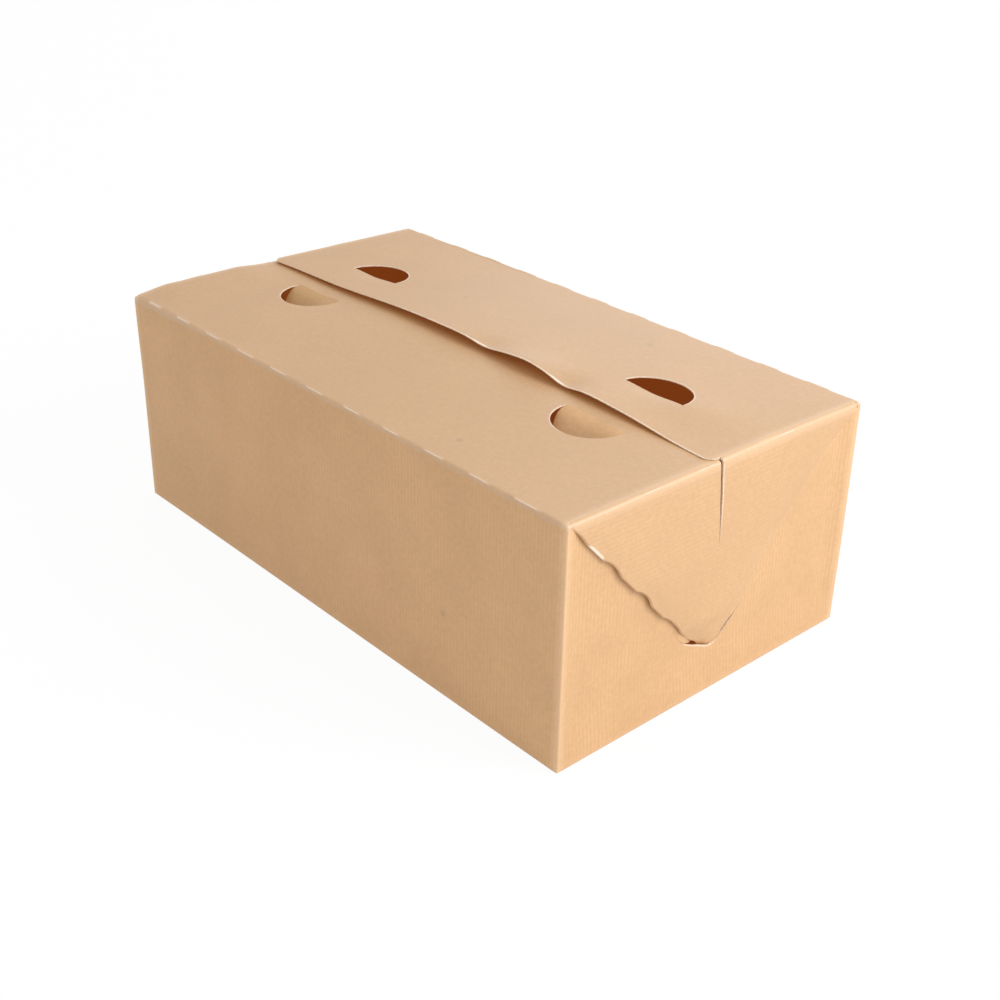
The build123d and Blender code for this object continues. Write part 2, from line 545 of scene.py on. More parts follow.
class Wire:
    """A number in a node tree that takes part in sums."""

    def __init__(self, graph: Graph, socket: Socket) -> None:
        """Wraps an output socket."""
        self.graph = graph
        self.socket = socket

    def _math(self, operation: str, *values: Wire | float) -> Wire:
        """Adds a Math node and gives its result."""
        return self.graph.value("ShaderNodeMath", 0, {"operation": operation}, dict(enumerate(values)))

    def __add__(self, other: Wire | float) -> Wire:
        """Sum."""
        return self._math("ADD", self, other)

    __radd__ = __add__

    def __mul__(self, other: Wire | float) -> Wire:
        """Product."""
        return self._math("MULTIPLY", self, other)

    __rmul__ = __mul__

    def __sub__(self, other: Wire | float) -> Wire:
        """Difference."""
        return self._math("SUBTRACT", self, other)

    def __rsub__(self, other: float) -> Wire:
        """Difference from a number."""
        return self._math("SUBTRACT", other, self)

    def sine(self) -> Wire:
        """Sine of an angle in radians."""
        return self._math("SINE", self)

    def between(self, low: float, high: float) -> Wire:
        """Share from 0 at low to 1 at high, held outside them.

        Args:
            low: Value that gives 0.
            high: Value that gives 1.

        Returns:
            The share.
        """
        settings = {"interpolation_type": "SMOOTHSTEP", "clamp": True}
        inputs = {"Value": self, "From Min": low, "From Max": high}
        return self.graph.value("ShaderNodeMapRange", 0, settings, inputs)


class Graph:
    """Node tree of a material or of the world."""

    def __init__(self, owner: bpy.types.Material | bpy.types.World) -> None:
        """Starts an empty tree.

        Args:
            owner: Material or world that the tree belongs to.
        """
        owner.use_nodes = True
        self.owner = owner
        self.tree = owner.node_tree
        self.tree.nodes.clear()

    def node(self, kind: str, settings: Settings = None, inputs: Inputs = None) -> bpy.types.Node:
        """Adds a node.

        Args:
            kind: Blender's name of the node type.
            settings: Values of the node's own properties, set first.
            inputs: Values or links of its sockets, by name or number.

        Returns:
            The new node.
        """
        made = self.tree.nodes.new(kind)
        for key, value in (settings or {}).items():
            setattr(made, key, value)
        for key, value in (inputs or {}).items():
            if isinstance(value, Wire):
                value = value.socket
            if isinstance(value, Socket):
                self.tree.links.new(value, made.inputs[key])
            else:
                made.inputs[key].default_value = value
        return made

    def value(self, kind: str, output: str | int, settings: Settings = None, inputs: Inputs = None) -> Wire:
        """Adds a node and gives one of its outputs as a number."""
        return Wire(self, self.node(kind, settings, inputs).outputs[output])

    def grain(self, vector: Socket, scale: float, detail: float) -> Wire:
        """Noise between 0 and 1 over a vector."""
        inputs = {"Vector": vector, "Scale": scale, "Detail": detail, "Roughness": 0.6}
        return self.value("ShaderNodeTexNoise", "Fac", {}, inputs)

    def stretched_grain(self, vector: Socket, factors: Triple, detail: float) -> Wire:
        """Noise between 0 and 1 over a vector that is stretched first."""
        scaled = self.node("ShaderNodeVectorMath", {"operation": "MULTIPLY"}, {0: vector, 1: factors})
        return self.grain(scaled.outputs[0], 1.0, detail)

    def mask(self, name: str) -> Wire:
        """A mask that is stored on the mesh."""
        return self.value("ShaderNodeAttribute", "Fac", {"attribute_name": name})

    def mix(self, share: Wire, low: Socket | Colour, high: Socket | Colour) -> Socket:
        """Mixes two colours by a share.

        Args:
            share: Share of the second colour.
            low: First colour.
            high: Second colour.

        Returns:
            The mixed colour.
        """
        settings = {"data_type": "RGBA", "blend_type": "MIX"}
        inputs = {MIX_SHARE: share, MIX_LOW: low, MIX_HIGH: high}
        return self.node("ShaderNodeMix", settings, inputs).outputs[MIX_RESULT]

    def relief(self, strength: float, depth: float, height: Wire) -> Socket:
        """Normal of a surface with small ups and downs, whose depth is in metres."""
        inputs = {"Strength": strength, "Distance": depth, "Height": height}
        return self.node("ShaderNodeBump", {}, inputs).outputs[0]

    def finish(self, shader: bpy.types.Node) -> None:
        """Ends the tree in the surface of what it belongs to.

        Args:
            shader: Node whose first output is the surface.
        """
        is_world = isinstance(self.owner, bpy.types.World)
        kind = "ShaderNodeOutputWorld" if is_world else "ShaderNodeOutputMaterial"
        self.node(kind, {}, {"Surface": shader.outputs[0]})


@dataclass(frozen=True)
class Finish:
    """A finish of the board."""

    def sockets(self, graph: Graph) -> dict[str, Any]:
        """Makes the nodes of the finish.

        Args:
            graph: The material's node tree.

        Returns:
            Values and links of the shader's sockets, by name.
        """
        raise NotImplementedError

    def build(self, name: str) -> bpy.types.Material:
        """Makes the finish's material.

        Args:
            name: Name of the material.

        Returns:
            The material.
        """
        material = bpy.data.materials.new(name)
        graph = Graph(material)
        graph.finish(graph.node("ShaderNodeBsdfPrincipled", {}, self.sockets(graph)))
        return material


@dataclass(frozen=True)
class KraftLiner(Finish):
    """Brown liner with flute lines, fibres, paler folds that are worn board with a painted highlight, pale
    bare fibres and painted highlights at cut edges, and a few specks of dirt.
    """

    dark: Colour = (0.520, 0.283, 0.109, 1.0)
    light: Colour = (0.672, 0.386, 0.164, 1.0)
    # Colour of the paler folds: worn board with a painted highlight.
    fold: Colour = (0.76, 0.50, 0.28, 1.0)
    # Colour of bare fibres, also used for the painted highlights and sheen that share their mask.
    fibre: Colour = (0.90, 0.78, 0.63, 1.0)
    dirt: Colour = (0.20, 0.13, 0.08, 1.0)
    flute_pitch: float = 1.9
    flute_tone: float = 0.36
    flute_depth: float = 1.0
    flute_wander: float = 5.0
    wander_stretch: Triple = (60.0, 14.0, 1.0)
    patch_scale: float = 26.0
    mottle_scale: float = 480.0
    fleck_scale: float = 1900.0
    relief_depth: float = 0.00012
    roughness: float = 0.50
    gloss: float = 1.0
    ior: float = 1.5
    specks: tuple[Triple, ...] = ()
    speck_radius: float = 2.0

    def sockets(self, graph: Graph) -> dict[str, Any]:
        """Makes the nodes of the liner.

        Args:
            graph: The material's node tree.

        Returns:
            Values and links of the shader's sockets, by name.
        """
        uv = graph.node("ShaderNodeUVMap", {"uv_map": BOARD_UV}).outputs[0]
        place = graph.node("ShaderNodeTexCoord").outputs["Object"]
        u = graph.value("ShaderNodeSeparateXYZ", 0, {}, {0: uv})
        wander = graph.stretched_grain(uv, self.wander_stretch, 2.0)
        turns = u * (2.0 * math.pi / (self.flute_pitch * MM)) + wander * self.flute_wander
        flute = turns.sine() * 0.5 + 0.5
        patch = graph.grain(place, self.patch_scale, 3.0)
        fibre = graph.stretched_grain(uv, FIBRE_STRETCH, 3.0)
        mottle = graph.grain(place, self.mottle_scale, 2.0) - 0.5
        fleck = graph.grain(place, self.fleck_scale, 1.0)
        visible = patch.between(0.35, 0.7)
        shown = (visible * 0.75 + 0.25) * self.flute_depth
        tone = flute * self.flute_tone * shown + patch * 0.25 + fibre * 0.6 + mottle * 0.5
        colour = graph.mix(tone.between(0.1, 1.0), self.dark, self.light)
        # Paler folds: worn board with a painted highlight.
        colour = graph.mix(graph.mask(WEAR_AND_HIGHLIGHT) * (fibre * 0.5 + 0.6), colour, self.fold)
        # Bare fibres, and painted highlights on cut edges.
        colour = graph.mix(graph.mask(BARE_AND_HIGHLIGHT) * (fibre * 0.6 + 0.65), colour, self.fibre)
        colour = graph.mix(fleck.between(0.70, 0.80) * 0.35, colour, self.dirt)
        reach = self.speck_radius * MM
        for speck in self.specks:
            inputs = {0: place, 1: tuple(c * MM for c in speck)}
            away = graph.value("ShaderNodeVectorMath", "Value", {"operation": "DISTANCE"}, inputs)
            near = away.between(reach, reach * 0.3)
            colour = graph.mix(near * (fleck * 0.5 + 0.05), colour, self.dirt)
        return {
            "Base Color": colour,
            "Roughness": fibre * 0.12 + self.roughness,
            "Normal": graph.relief(0.5, self.relief_depth, flute * shown + fibre * 0.8),
            "Specular IOR Level": self.gloss,
            "IOR": self.ior,
        }


@dataclass(frozen=True)
class InnerLiner(Finish):
    """Inner face of the board, darker, with a painted glow: an emission that stands in for the warm light
    bounced about inside the closed box.
    """

    dark: Colour = (0.50, 0.26, 0.085, 1.0)
    light: Colour = (0.60, 0.33, 0.125, 1.0)
    glow: Colour = (0.070, 0.021, 0.0045, 1.0)
    roughness: float = 0.8

    def sockets(self, graph: Graph) -> dict[str, Any]:
        """Makes the nodes of the inner face.

        Args:
            graph: The material's node tree.

        Returns:
            Values and links of the shader's sockets, by name.
        """
        uv = graph.node("ShaderNodeUVMap", {"uv_map": BOARD_UV}).outputs[0]
        fibre = graph.stretched_grain(uv, FIBRE_STRETCH, 3.0)
        return {
            "Base Color": graph.mix(fibre.between(0.3, 0.7), self.dark, self.light),
            "Roughness": self.roughness,
            # Painted glow: emission that stands in for light bounced about inside the box.
            "Emission Color": self.glow,
            "Emission Strength": 1.0,
        }


@dataclass(frozen=True)
class RawEdge(Finish):
    """Cut edge of the board, with the pale fibres of its liners."""

    dark: Colour = (0.62, 0.43, 0.27, 1.0)
    light: Colour = (0.88, 0.74, 0.58, 1.0)
    roughness: float = 0.9
    fibre_scale: float = 1500.0
    relief_depth: float = 0.0002

    def sockets(self, graph: Graph) -> dict[str, Any]:
        """Makes the nodes of the cut edge.

        Args:
            graph: The material's node tree.

        Returns:
            Values and links of the shader's sockets, by name.
        """
        place = graph.node("ShaderNodeTexCoord").outputs["Object"]
        fibre = graph.grain(place, self.fibre_scale, 3.0)
        return {
            "Base Color": graph.mix(fibre.between(0.3, 0.65), self.dark, self.light),
            "Roughness": self.roughness,
            "Normal": graph.relief(0.4, self.relief_depth, fibre),
        }


class Stretch(NamedTuple):
    """A straight or a corner of the ring, with its first point or its centre."""

    first: float
    length: float
    point: Vector
    heading: Vector
    is_round: bool


class Ring:
    """Rounded rectangle that the walls follow, run from the middle of the back by way of the left end."""

    def __init__(self, half_x: float, half_y: float, radius: float) -> None:
        """Lays the ring's straights and corners end to end.

        Args:
            half_x: Half of the ring's length.
            half_y: Half of its width.
            radius: Radius of its corners.
        """
        self.radius = radius
        turn = radius * math.pi / 2.0
        long, short = 2.0 * (half_x - radius), 2.0 * (half_y - radius)
        self.total = 2.0 * (long + short) + 4.0 * turn
        self.stretches: list[Stretch] = []
        first = 0.0
        point, away = Vector((0.0, half_y)), Vector((0.0, 1.0))
        for length in (long / 2.0, short, long, short):
            ahead = Vector((-away.y, away.x))
            centre = point + ahead * length - away * radius
            self.stretches.append(Stretch(first, length, point, ahead, False))
            self.stretches.append(Stretch(first + length, turn, centre, away, True))
            first += length + turn
            point, away = centre + ahead * radius, ahead
        self.stretches.append(Stretch(first, long / 2.0, point, Vector((-1.0, 0.0)), False))

    def at(self, distance: float) -> tuple[Vector, Vector]:
        """Point and outward direction at a distance along the ring.

        Args:
            distance: How far along.

        Returns:
            The point and the direction, both level.
        """
        stretch = next(s for s in reversed(self.stretches) if distance >= s.first)
        along = distance - stretch.first
        x, y = stretch.heading
        if not stretch.is_round:
            return stretch.point + stretch.heading * along, Vector((y, -x))
        cos, sin = math.cos(along / self.radius), math.sin(along / self.radius)
        turned = Vector((x * cos - y * sin, x * sin + y * cos))
        return stretch.point + turned * self.radius, turned

    def columns(self, spacing: float, corner_steps: int) -> list[float]:
        """Places along the ring where the walls can bend.

        Args:
            spacing: Distance between places on a straight.
            corner_steps: Steps round a corner.

        Returns:
            Distances along the ring, in order.
        """
        values: set[float] = set()
        for first, length, _, _, is_round in self.stretches:
            step = length / corner_steps if is_round else spacing
            values.update(round(value, 6) for value in spread(first, first + length, step))
        return sorted(values)


@dataclass(frozen=True)
class LongFold:
    """A long top fold: tight where it is cut, softer between its cuts and at its left end."""

    sizes: BoxSizes
    side: Side
    softness: float = 0.45
    back_softness: float = 0.25
    end_softness: float = 1.6
    end_span: Point = (-75.0, -136.0)
    corner_calm: float = 6.0
    nick_wander: float = 1.2
    nick_variety: float = 0.25
    nick_ease: Point = (1.2, -0.9)

    def nick(self, x: float) -> float:
        """Share by which a spot of the fold lies in one of its cuts.

        Args:
            x: Place along the box.

        Returns:
            1 in a cut, 0 between the cuts, and a share at a cut's ends.
        """
        s = self.sizes
        index = round((x - s.nick_shift) / s.nick_pitch)
        if abs(index) > (s.nick_count - 1) // 2:
            return 0.0
        wander = self.nick_wander * ripple(5.0 + self.side.value, index * 3.7, 0.0)
        reach = s.nick_length / 2.0 * (1.0 + self.nick_variety * ripple(9.0, index * 2.3, 1.0))
        away = abs(x - s.nick_shift - index * s.nick_pitch - wander)
        return smooth(reach + self.nick_ease[0], reach + self.nick_ease[1], away)

    def radius(self, x: float) -> float:
        """Outer radius of the fold at a place along the box.

        Args:
            x: Place along the box.

        Returns:
            The radius.
        """
        s = self.sizes
        soft = self.softness if self.side is Side.FRONT else self.back_softness
        soft *= (1.0 - self.nick(x)) * smooth(s.lid_end, s.lid_end - self.corner_calm, abs(x))
        return s.top_fold + soft + self.end_softness * smooth(*self.end_span, x)


@dataclass(frozen=True)
class SlotOpening:
    """A stretch of a tuck slot where its tongue stands off from the cut."""

    y: float
    reach: float
    width: float


@dataclass
class Tray:
    """The four walls, the base and the tuck slots with their tongues."""

    sizes: BoxSizes
    finish: BoardFinish
    spacing: float = 3.5
    corner_steps: int = 7
    top_reach: float = 9.0
    top_spacing: float = 1.5
    tongue_gap: float = 0.05
    tongue_openings: tuple[SlotOpening, ...] = (
        SlotOpening(-3.2, 2.3, 1.2),
        SlotOpening(-9.0, 4.0, 0.2),
        SlotOpening(12.0, 3.0, 1.8),
    )
    tongue_start: float = 33.0
    tongue_press: tuple[Point, Point] = ((-16.0, -1.0), (19.0, 15.0))
    slot_ends: Point = (-19.6, 20.2)
    slot_corner: Point = (2.4, 24.6)
    slot_corner_radius: float = 5.6
    slot_corner_angles: Point = (243.4, 318.0)
    slot_front: tuple[Point, ...] = (
        (-18.4, 32.2), (-16.9, 29.5), (-14.85, 27.0),
        (-12.7, 25.3), (-7.95, 22.9), (-3.8, 21.2),
    )
    slot_back: tuple[Point, ...] = ((9.9, 23.3), (14.4, 27.2), (16.7, 29.5))
    waviness: float = 0.18
    wave_lengths: Point = (45.0, 38.0)
    wave_calm: float = 12.0
    corner_calm: float = 14.0
    press_reach: float = 8.0
    press_start: float = 3.0
    foot_spread: float = 1.1
    foot_height: float = 45.0
    left_inset: float = 1.0
    inset_heights: Point = (95.0, 55.0)
    lip_rows: tuple[float, ...] = (0.25, 0.55, 1.0)
    lip_span: Point = (-13.5, 5.5)
    lip_ease: Point = (0.55, 0.25)
    lip_height: float = 28.0
    lip_pale: float = 0.5
    # Paler band on the upright corners: worn board with a painted highlight.
    corner_wear: float = 0.5
    foot_wear: float = 0.2
    base_rows: tuple[float, ...] = (0.02, 0.1, 0.2, 0.4, 0.6)
    base_border: float = 2.0
    base_spacing: float = 6.0

    @cached_property
    def ring(self) -> Ring:
        """Outer ring of the walls."""
        return Ring(self.sizes.half_length, self.sizes.half_width, self.sizes.wall_fold)

    def slot_outline(self) -> list[Point]:
        """Outline of a tuck slot, as across and up: a curved leg, a rounded corner and a steep leg.

        Returns:
            The points of the outline, with more of them along its straights.
        """
        first, last = ((end, self.sizes.slot_top) for end in self.slot_ends)
        corner = arc(self.slot_corner, self.slot_corner_radius, *self.slot_corner_angles, 14)
        outline = [first, *self.slot_front, *corner, *self.slot_back, last]
        return FlatPattern(outline, (), ()).refined(outline)

    def tongue_outline(self) -> list[Point]:
        """Outline of a slot's tongue, drawn in from the cut where the tongue stands off.

        Returns:
            The points of the outline, none above the line on which the tongue bends.
        """
        middle = Vector((self.slot_corner[0], self.sizes.slot_top))
        outline = []
        for y, z in self.slot_outline():
            gap = self.tongue_gap + sum(o.width * bump(y, o.y, o.reach) for o in self.tongue_openings)
            moved = Vector((y, z)) + (middle - Vector((y, z))).normalized() * gap
            outline.append((moved.x, min(moved.y, self.sizes.slot_top)))
        return outline

    def on_wall(self, end: End, points: list[Point]) -> list[Point]:
        """Moves points of an end wall to the pattern of the walls.

        Args:
            end: The end wall.
            points: Points across it and up.

        Returns:
            The same points along the ring and up.
        """
        ends = [s for s in self.ring.stretches if not s.is_round and abs(s.heading.y) == 1.0]
        stretch = ends[0] if end is End.LEFT else ends[1]
        middle = stretch.first + stretch.length / 2.0
        return [(middle + end.value * y, z) for y, z in points]

    def walls(self) -> Piece:
        """Makes the four walls as one tube with the slots cut out.

        Returns:
            The walls.
        """
        s = self.sizes
        ring = self.ring
        low, high = s.base_fold, s.height - s.top_fold
        soft_top = high - self.top_reach
        slot = self.slot_outline()
        lip = [(y, z) for y, z in slot if self.lip_span[0] < y < self.lip_span[1]]
        rims = [self.on_wall(end, lip) for end in End]

        def bend(u: float, v: float) -> Vector:
            """Puts a spot of the tube in place.

            Args:
                u: First coordinate on the flat pattern.
                v: Second coordinate on the flat pattern.

            Returns:
                The spot in the row frame, in millimetres.
            """
            point, away = ring.at(u % ring.total)
            from_corner, from_join = self.to_corner(u), min(u, ring.total - u)
            ease = smooth(low, low + self.wave_calm, v) * smooth(high, high - self.wave_calm, v)
            swell = self.waviness * ease * ripple(3.0, u / self.wave_lengths[0], v / self.wave_lengths[1])
            swell *= smooth(0.0, self.corner_calm, from_corner) * smooth(0.0, self.corner_calm, from_join)
            swell -= abs(away.x) ** 8 * self.pushed_in(from_corner, v)
            fold = LongFold(s, Side.FRONT if away.y < 0.0 else Side.BACK)
            drop = (fold.radius(point.x) - s.top_fold) * abs(away.y) * smooth(soft_top, high, v)
            return self.settled(Vector((point.x + away.x * swell, point.y + away.y * swell, v - drop)))

        def wear(u: float, v: float) -> float:
            """Paler folds along the upright corners and the foot: worn board, with a painted highlight on
            the corners.
            """
            return self.corner_wear * bump(self.to_corner(u), 0.0, 0.8) + self.foot_wear * bump(v, low, 1.0)

        def bare(u: float, v: float) -> float:
            """Pale lower lips of the slots.

            Args:
                u: First coordinate on the flat pattern.
                v: Second coordinate on the flat pattern.

            Returns:
                How bare the board is.
            """
            if v > self.lip_height:
                return 0.0
            gap = min(math.hypot(u - a, v - b) for rim in rims for a, b in rim)
            return self.lip_pale * smooth(*self.lip_ease, gap)

        pattern = FlatPattern(
            [(0.0, low), (ring.total, low), (ring.total, high), (0.0, high)],
            ring.columns(self.spacing, self.corner_steps),
            sorted({*spread(low, soft_top, self.spacing), *spread(soft_top, high, self.top_spacing)}),
            [self.on_wall(end, slot) for end in End],
            [(u, v - inset) for rim in rims for inset in self.lip_rows for u, v in rim],
        )
        joined = (0.0, ring.total)
        sheet = CardSheet("walls", pattern, bend, s.board, 1, bare, wear, joined_columns=joined)
        return sheet.build(self.finish)

    def settled(self, point: Vector) -> Vector:
        """Spreads the foot of the walls a little towards the right end, as the box stands.

        Args:
            point: A spot of the tray.

        Returns:
            The spot after settling.
        """
        s = self.sizes
        share = smooth(-s.half_length, s.half_length, point.x) * smooth(self.foot_height, 0.0, point.z)
        across = point.y / s.half_width * share * self.foot_spread
        left = self.left_inset * smooth(0.0, -s.half_length, point.x) * smooth(*self.inset_heights, point.z)
        return point + Vector((left - across, across, 0.0))

    def pushed_in(self, from_corner: float, z: float) -> float:
        """How far the ear presses an end wall in.

        Args:
            from_corner: Distance from the nearest upright fold.
            z: Height.

        Returns:
            The depth.
        """
        s = self.sizes
        depth = s.half_length - s.end_face
        up = smooth(self.press_start, s.slot_bottom + self.press_start, z)
        return depth * smooth(0.0, self.press_reach, from_corner) * up

    def to_corner(self, u: float) -> float:
        """Distance along the ring from a spot to the nearest upright fold."""
        corners = [(s.first, s.length / 2.0) for s in self.ring.stretches if s.is_round]
        return min(max(0.0, abs(u - first - half) - half) for first, half in corners)

    def base(self, side: Side) -> Piece:
        """Makes one of the two outer base flaps, which meet in the middle.

        Args:
            side: Long side that the flap hangs on.

        Returns:
            The flap.
        """
        s = self.sizes
        x_end, y_end, r = s.half_length, s.half_width, s.base_fold
        seam = s.base_seam / 2.0
        corner = s.wall_fold
        near = [(-x_end, seam), (x_end, seam)]
        rounded = arc((x_end - corner, y_end - corner), corner, 0.0, 90.0, 6)
        rounded += arc((-x_end + corner, y_end - corner), corner, 90.0, 180.0, 6)

        def bend(u: float, v: float) -> Vector:
            """Rolls the flap's border up into the walls.

            Args:
                u: First coordinate on the flat pattern.
                v: Second coordinate on the flat pattern.

            Returns:
                The spot in the row frame, in millimetres.
            """
            dx = x_end - abs(u)
            dy = y_end - v
            if dx < corner and dy < corner:
                gap = corner - math.hypot(corner - dx, corner - dy)
            else:
                gap = min(dx, dy)
            gap = min(r, max(0.0, gap))
            up = r - math.sqrt(max(0.0, r * r - (r - gap) ** 2))
            return self.settled(Vector((u, side.value * v, up)))

        inner_x, inner_y = x_end - self.base_border, y_end - self.base_border
        borders = [x_end - gap for gap in self.base_rows]
        columns = {*spread(-inner_x, inner_x, self.base_spacing), *borders, *(-u for u in borders)}
        rows = {*spread(seam, inner_y, self.base_spacing), *(y_end - gap for gap in self.base_rows)}
        pattern = FlatPattern(near + rounded, sorted(columns), sorted(rows), margin=0.03)
        name = f"base_{side.label}_flap"
        return CardSheet(name, pattern, bend, s.board * 0.98, -side.value).build(self.finish)

    def base_lining(self) -> Piece:
        """Makes the inner base flaps, as one sheet over the seam.

        Returns:
            The sheet.
        """
        s = self.sizes
        x_end, y_end = s.end_face - s.board - 0.1, s.half_width - s.board - 0.1
        outline = [(-x_end, -y_end), (x_end, -y_end), (x_end, y_end), (-x_end, y_end)]
        pattern = FlatPattern(outline, spread(-x_end, x_end, 20.0), spread(-y_end, y_end, 20.0))
        top = 2.0 * s.board
        sheet = CardSheet("base_lining", pattern, lambda u, v: Vector((u, v, top)), s.board * 0.95)
        return sheet.build(BoardFinish(self.finish.inside, self.finish.liner, self.finish.raw_edge))

    def tongue(self, end: End) -> Piece:
        """Makes the tongue of a tuck slot, pushed into the box on its upper line.

        Args:
            end: End wall that the slot is in.

        Returns:
            The tongue.
        """
        s = self.sizes
        lean = math.tan(math.radians(s.tongue_angle))
        front, back = self.tongue_press

        def bend(u: float, v: float) -> Vector:
            """Leans the tongue inwards, most where the ear's tip presses it.

            Args:
                u: First coordinate on the flat pattern.
                v: Second coordinate on the flat pattern.

            Returns:
                The spot in the row frame, in millimetres.
            """
            fall = max(0.0, self.tongue_start - v)
            depth = lean * (math.sqrt(fall * fall + 1.0) - 1.0) * (smooth(*front, u) * smooth(*back, u))
            return Vector((end.value * (s.end_face - depth), u, v))

        rows = spread(s.slot_bottom, s.slot_top, 1.5)
        pattern = FlatPattern(self.tongue_outline(), spread(-20.0, 20.0, 2.0), rows)
        name = f"{end.label}_slot_tongue"
        return CardSheet(name, pattern, bend, s.board, end.value).build(self.finish)

    def build(self) -> list[Piece]:
        """Makes every piece of the tray.

        Returns:
            The pieces, with the walls first.
        """
        pieces = [self.walls(), self.base_lining()]
        pieces.extend(self.base(side) for side in Side)
        pieces.extend(self.tongue(end) for end in End)
        return pieces


@dataclass(frozen=True)
class EdgeDip:
    """A spot where a lid flap was pressed down near its free edge, or stands up if the depth is below 0."""

    x: float
    depth: float
    reach_x: float
    reach_y: float
    inset: float = 0.0


@dataclass
class LidFlap:
    """One of the two lid flaps, with its long fold, its vents and their tabs."""

    sizes: BoxSizes
    finish: BoardFinish
    side: Side
    dips: tuple[EdgeDip, ...] = ()
    tab_bend: float = 9.0
    tab_rise: float = 0.0
    tab_fall: float = 55.0
    skew: float = 0.0
    corner_tuck: float = 0.5
    shoulder: float = 0.9
    skirt: float = 0.35
    skirt_proud: float = 0.03
    hinge_sag: float = 0.6
    cut_board: float = 0.42
    left_swell: float = 0.0
    vent_corner: float = 1.0
    edge_rows: tuple[float, ...] = (0.18, 0.4, 0.8, 1.3)
    # Places along the free edge where it curls up and shows a painted sheen.
    lip_places: tuple[float, ...] = ()
    # Finishes of the tabs by end; the front flap's left tab takes a darker copy of the liner as painted
    # shade.
    tab_finishes: dict[End, BoardFinish] = field(default_factory=dict)
    left_twist: float = 0.0
    twist_span: Point = (-2.0, 13.0)
    swell_span: Point = (-108.0, -139.0)
    swell_rise: float = 16.0
    swell_fade: Point = (2.2, 5.0)
    sag_reach: Point = (9.0, 3.5)
    fold_ease: float = 14.0
    nick_lip: float = 0.3
    nick_reach: float = 0.24
    # Painted highlight along the free edge, fading out towards the left end, and round the vent rims, on
    # the front flap only on their lit side; pale torn fibres in the cuts of the long fold; and a painted
    # sheen that widens the free edge's highlight where it curls up.
    cut_edge_span: Point = (-75.0, -15.0)
    vent_pale_span: Point = (4.0, -9.0)
    nick_pale: float = 0.5
    edge_pale: float = 0.75
    vent_pale: float = 0.55
    lip_width: float = 0.7
    lip_reach: float = 7.0
    # Paler long fold and end turns: worn board with a painted highlight.
    long_wear: float = 0.12
    end_wear: float = 0.55

    @property
    def rise(self) -> float:
        """Height of the free edge above the folds at mid-length."""
        s = self.sizes
        return s.lid_rise if self.side is Side.FRONT else (s.lid_rise + s.board + s.lid_gap) * s.lid_step

    @property
    def end_rise(self) -> float:
        """Height of the free edge above the folds at the ends."""
        s = self.sizes
        return 0.0 if self.side is Side.FRONT else (s.board + s.lid_end_gap) * s.lid_step

    @property
    def fold_length(self) -> float:
        """Length of the long fold, measured round its outside."""
        return self.sizes.top_fold * math.pi / 2.0

    @property
    def hinge_along(self) -> float:
        """Distance from the long fold to the line on which the tabs bend."""
        return self.sizes.lid_fold_y - self.sizes.vent_hinge + self.tab_rise

    @property
    def vent_row(self) -> float:
        """Row of the flat pattern that the vents are centred on."""
        return self.fold_length + self.sizes.lid_fold_y - self.sizes.vent_hinge

    def top(self, x: float, along: float) -> float:
        """Height of the flap's outer face.

        Args:
            x: Place along the box.
            along: Distance from the long fold towards the free edge.

        Returns:
            The height.
        """
        s = self.sizes
        arch = self.end_rise + (self.rise - self.end_rise) * (1.0 - (x / s.half_length) ** 2)
        height = s.height + arch * along / s.lid_span
        for dip in self.dips:
            near = bump(x, dip.x, dip.reach_x) * bump(along, s.lid_span - dip.inset, dip.reach_y)
            height -= dip.depth * near
        fade = (s.lid_span - share * s.lid_overlap for share in self.swell_fade)
        swell = self.left_swell * smooth(*self.swell_span, x) * smooth(0.0, self.swell_rise, along)
        swell *= smooth(*fade, along)
        height += swell * (1.0 + 0.15 * ripple(2.0, along / 9.0, 0.0))
        reach_x, reach_y = self.sag_reach
        near = bump(abs(x), s.vent_middle, reach_x) * bump(along, self.hinge_along, reach_y)
        return height - self.hinge_sag * near

    @property
    def fold(self) -> LongFold:
        """The long fold that the flap hangs on."""
        return LongFold(self.sizes, self.side)

    def bend(self, u: float, v: float) -> Vector:
        """Puts a spot of the flap in place, round the long fold and along the crowned lid.

        Args:
            u: First coordinate on the flat pattern.
            v: Second coordinate on the flat pattern.

        Returns:
            The spot in the row frame, in millimetres.
        """
        s = self.sizes
        turn = max(0.0, abs(u) - s.lid_end) / s.end_fold
        x = math.copysign(min(abs(u), s.lid_end) + s.end_fold * math.sin(turn), u)
        tuck = self.corner_tuck * math.sin(turn) ** 2
        radius = self.fold.radius(x)
        if v < 0.0:
            y = s.half_width + self.skirt_proud - tuck
            z = s.height - radius + v
        elif v < self.fold_length:
            angle = v / self.fold_length * math.pi / 2.0
            lip = self.nick_lip * self.fold.nick(u) * bump(v, self.fold_length * 0.6, self.nick_reach)
            y = s.half_width - radius + (radius + lip) * math.cos(angle)
            z = s.height - radius + (radius + lip) * math.sin(angle)
            y -= tuck * math.cos(angle)
        else:
            along = v - self.fold_length
            y = s.lid_fold_y - along + (s.top_fold - radius) * smooth(self.fold_ease, 0.0, along)
            z = self.top(x, s.lid_fold_y - y)
        z -= s.end_fold * (1.0 - math.cos(turn))
        return Vector((x, self.side.value * y, z))

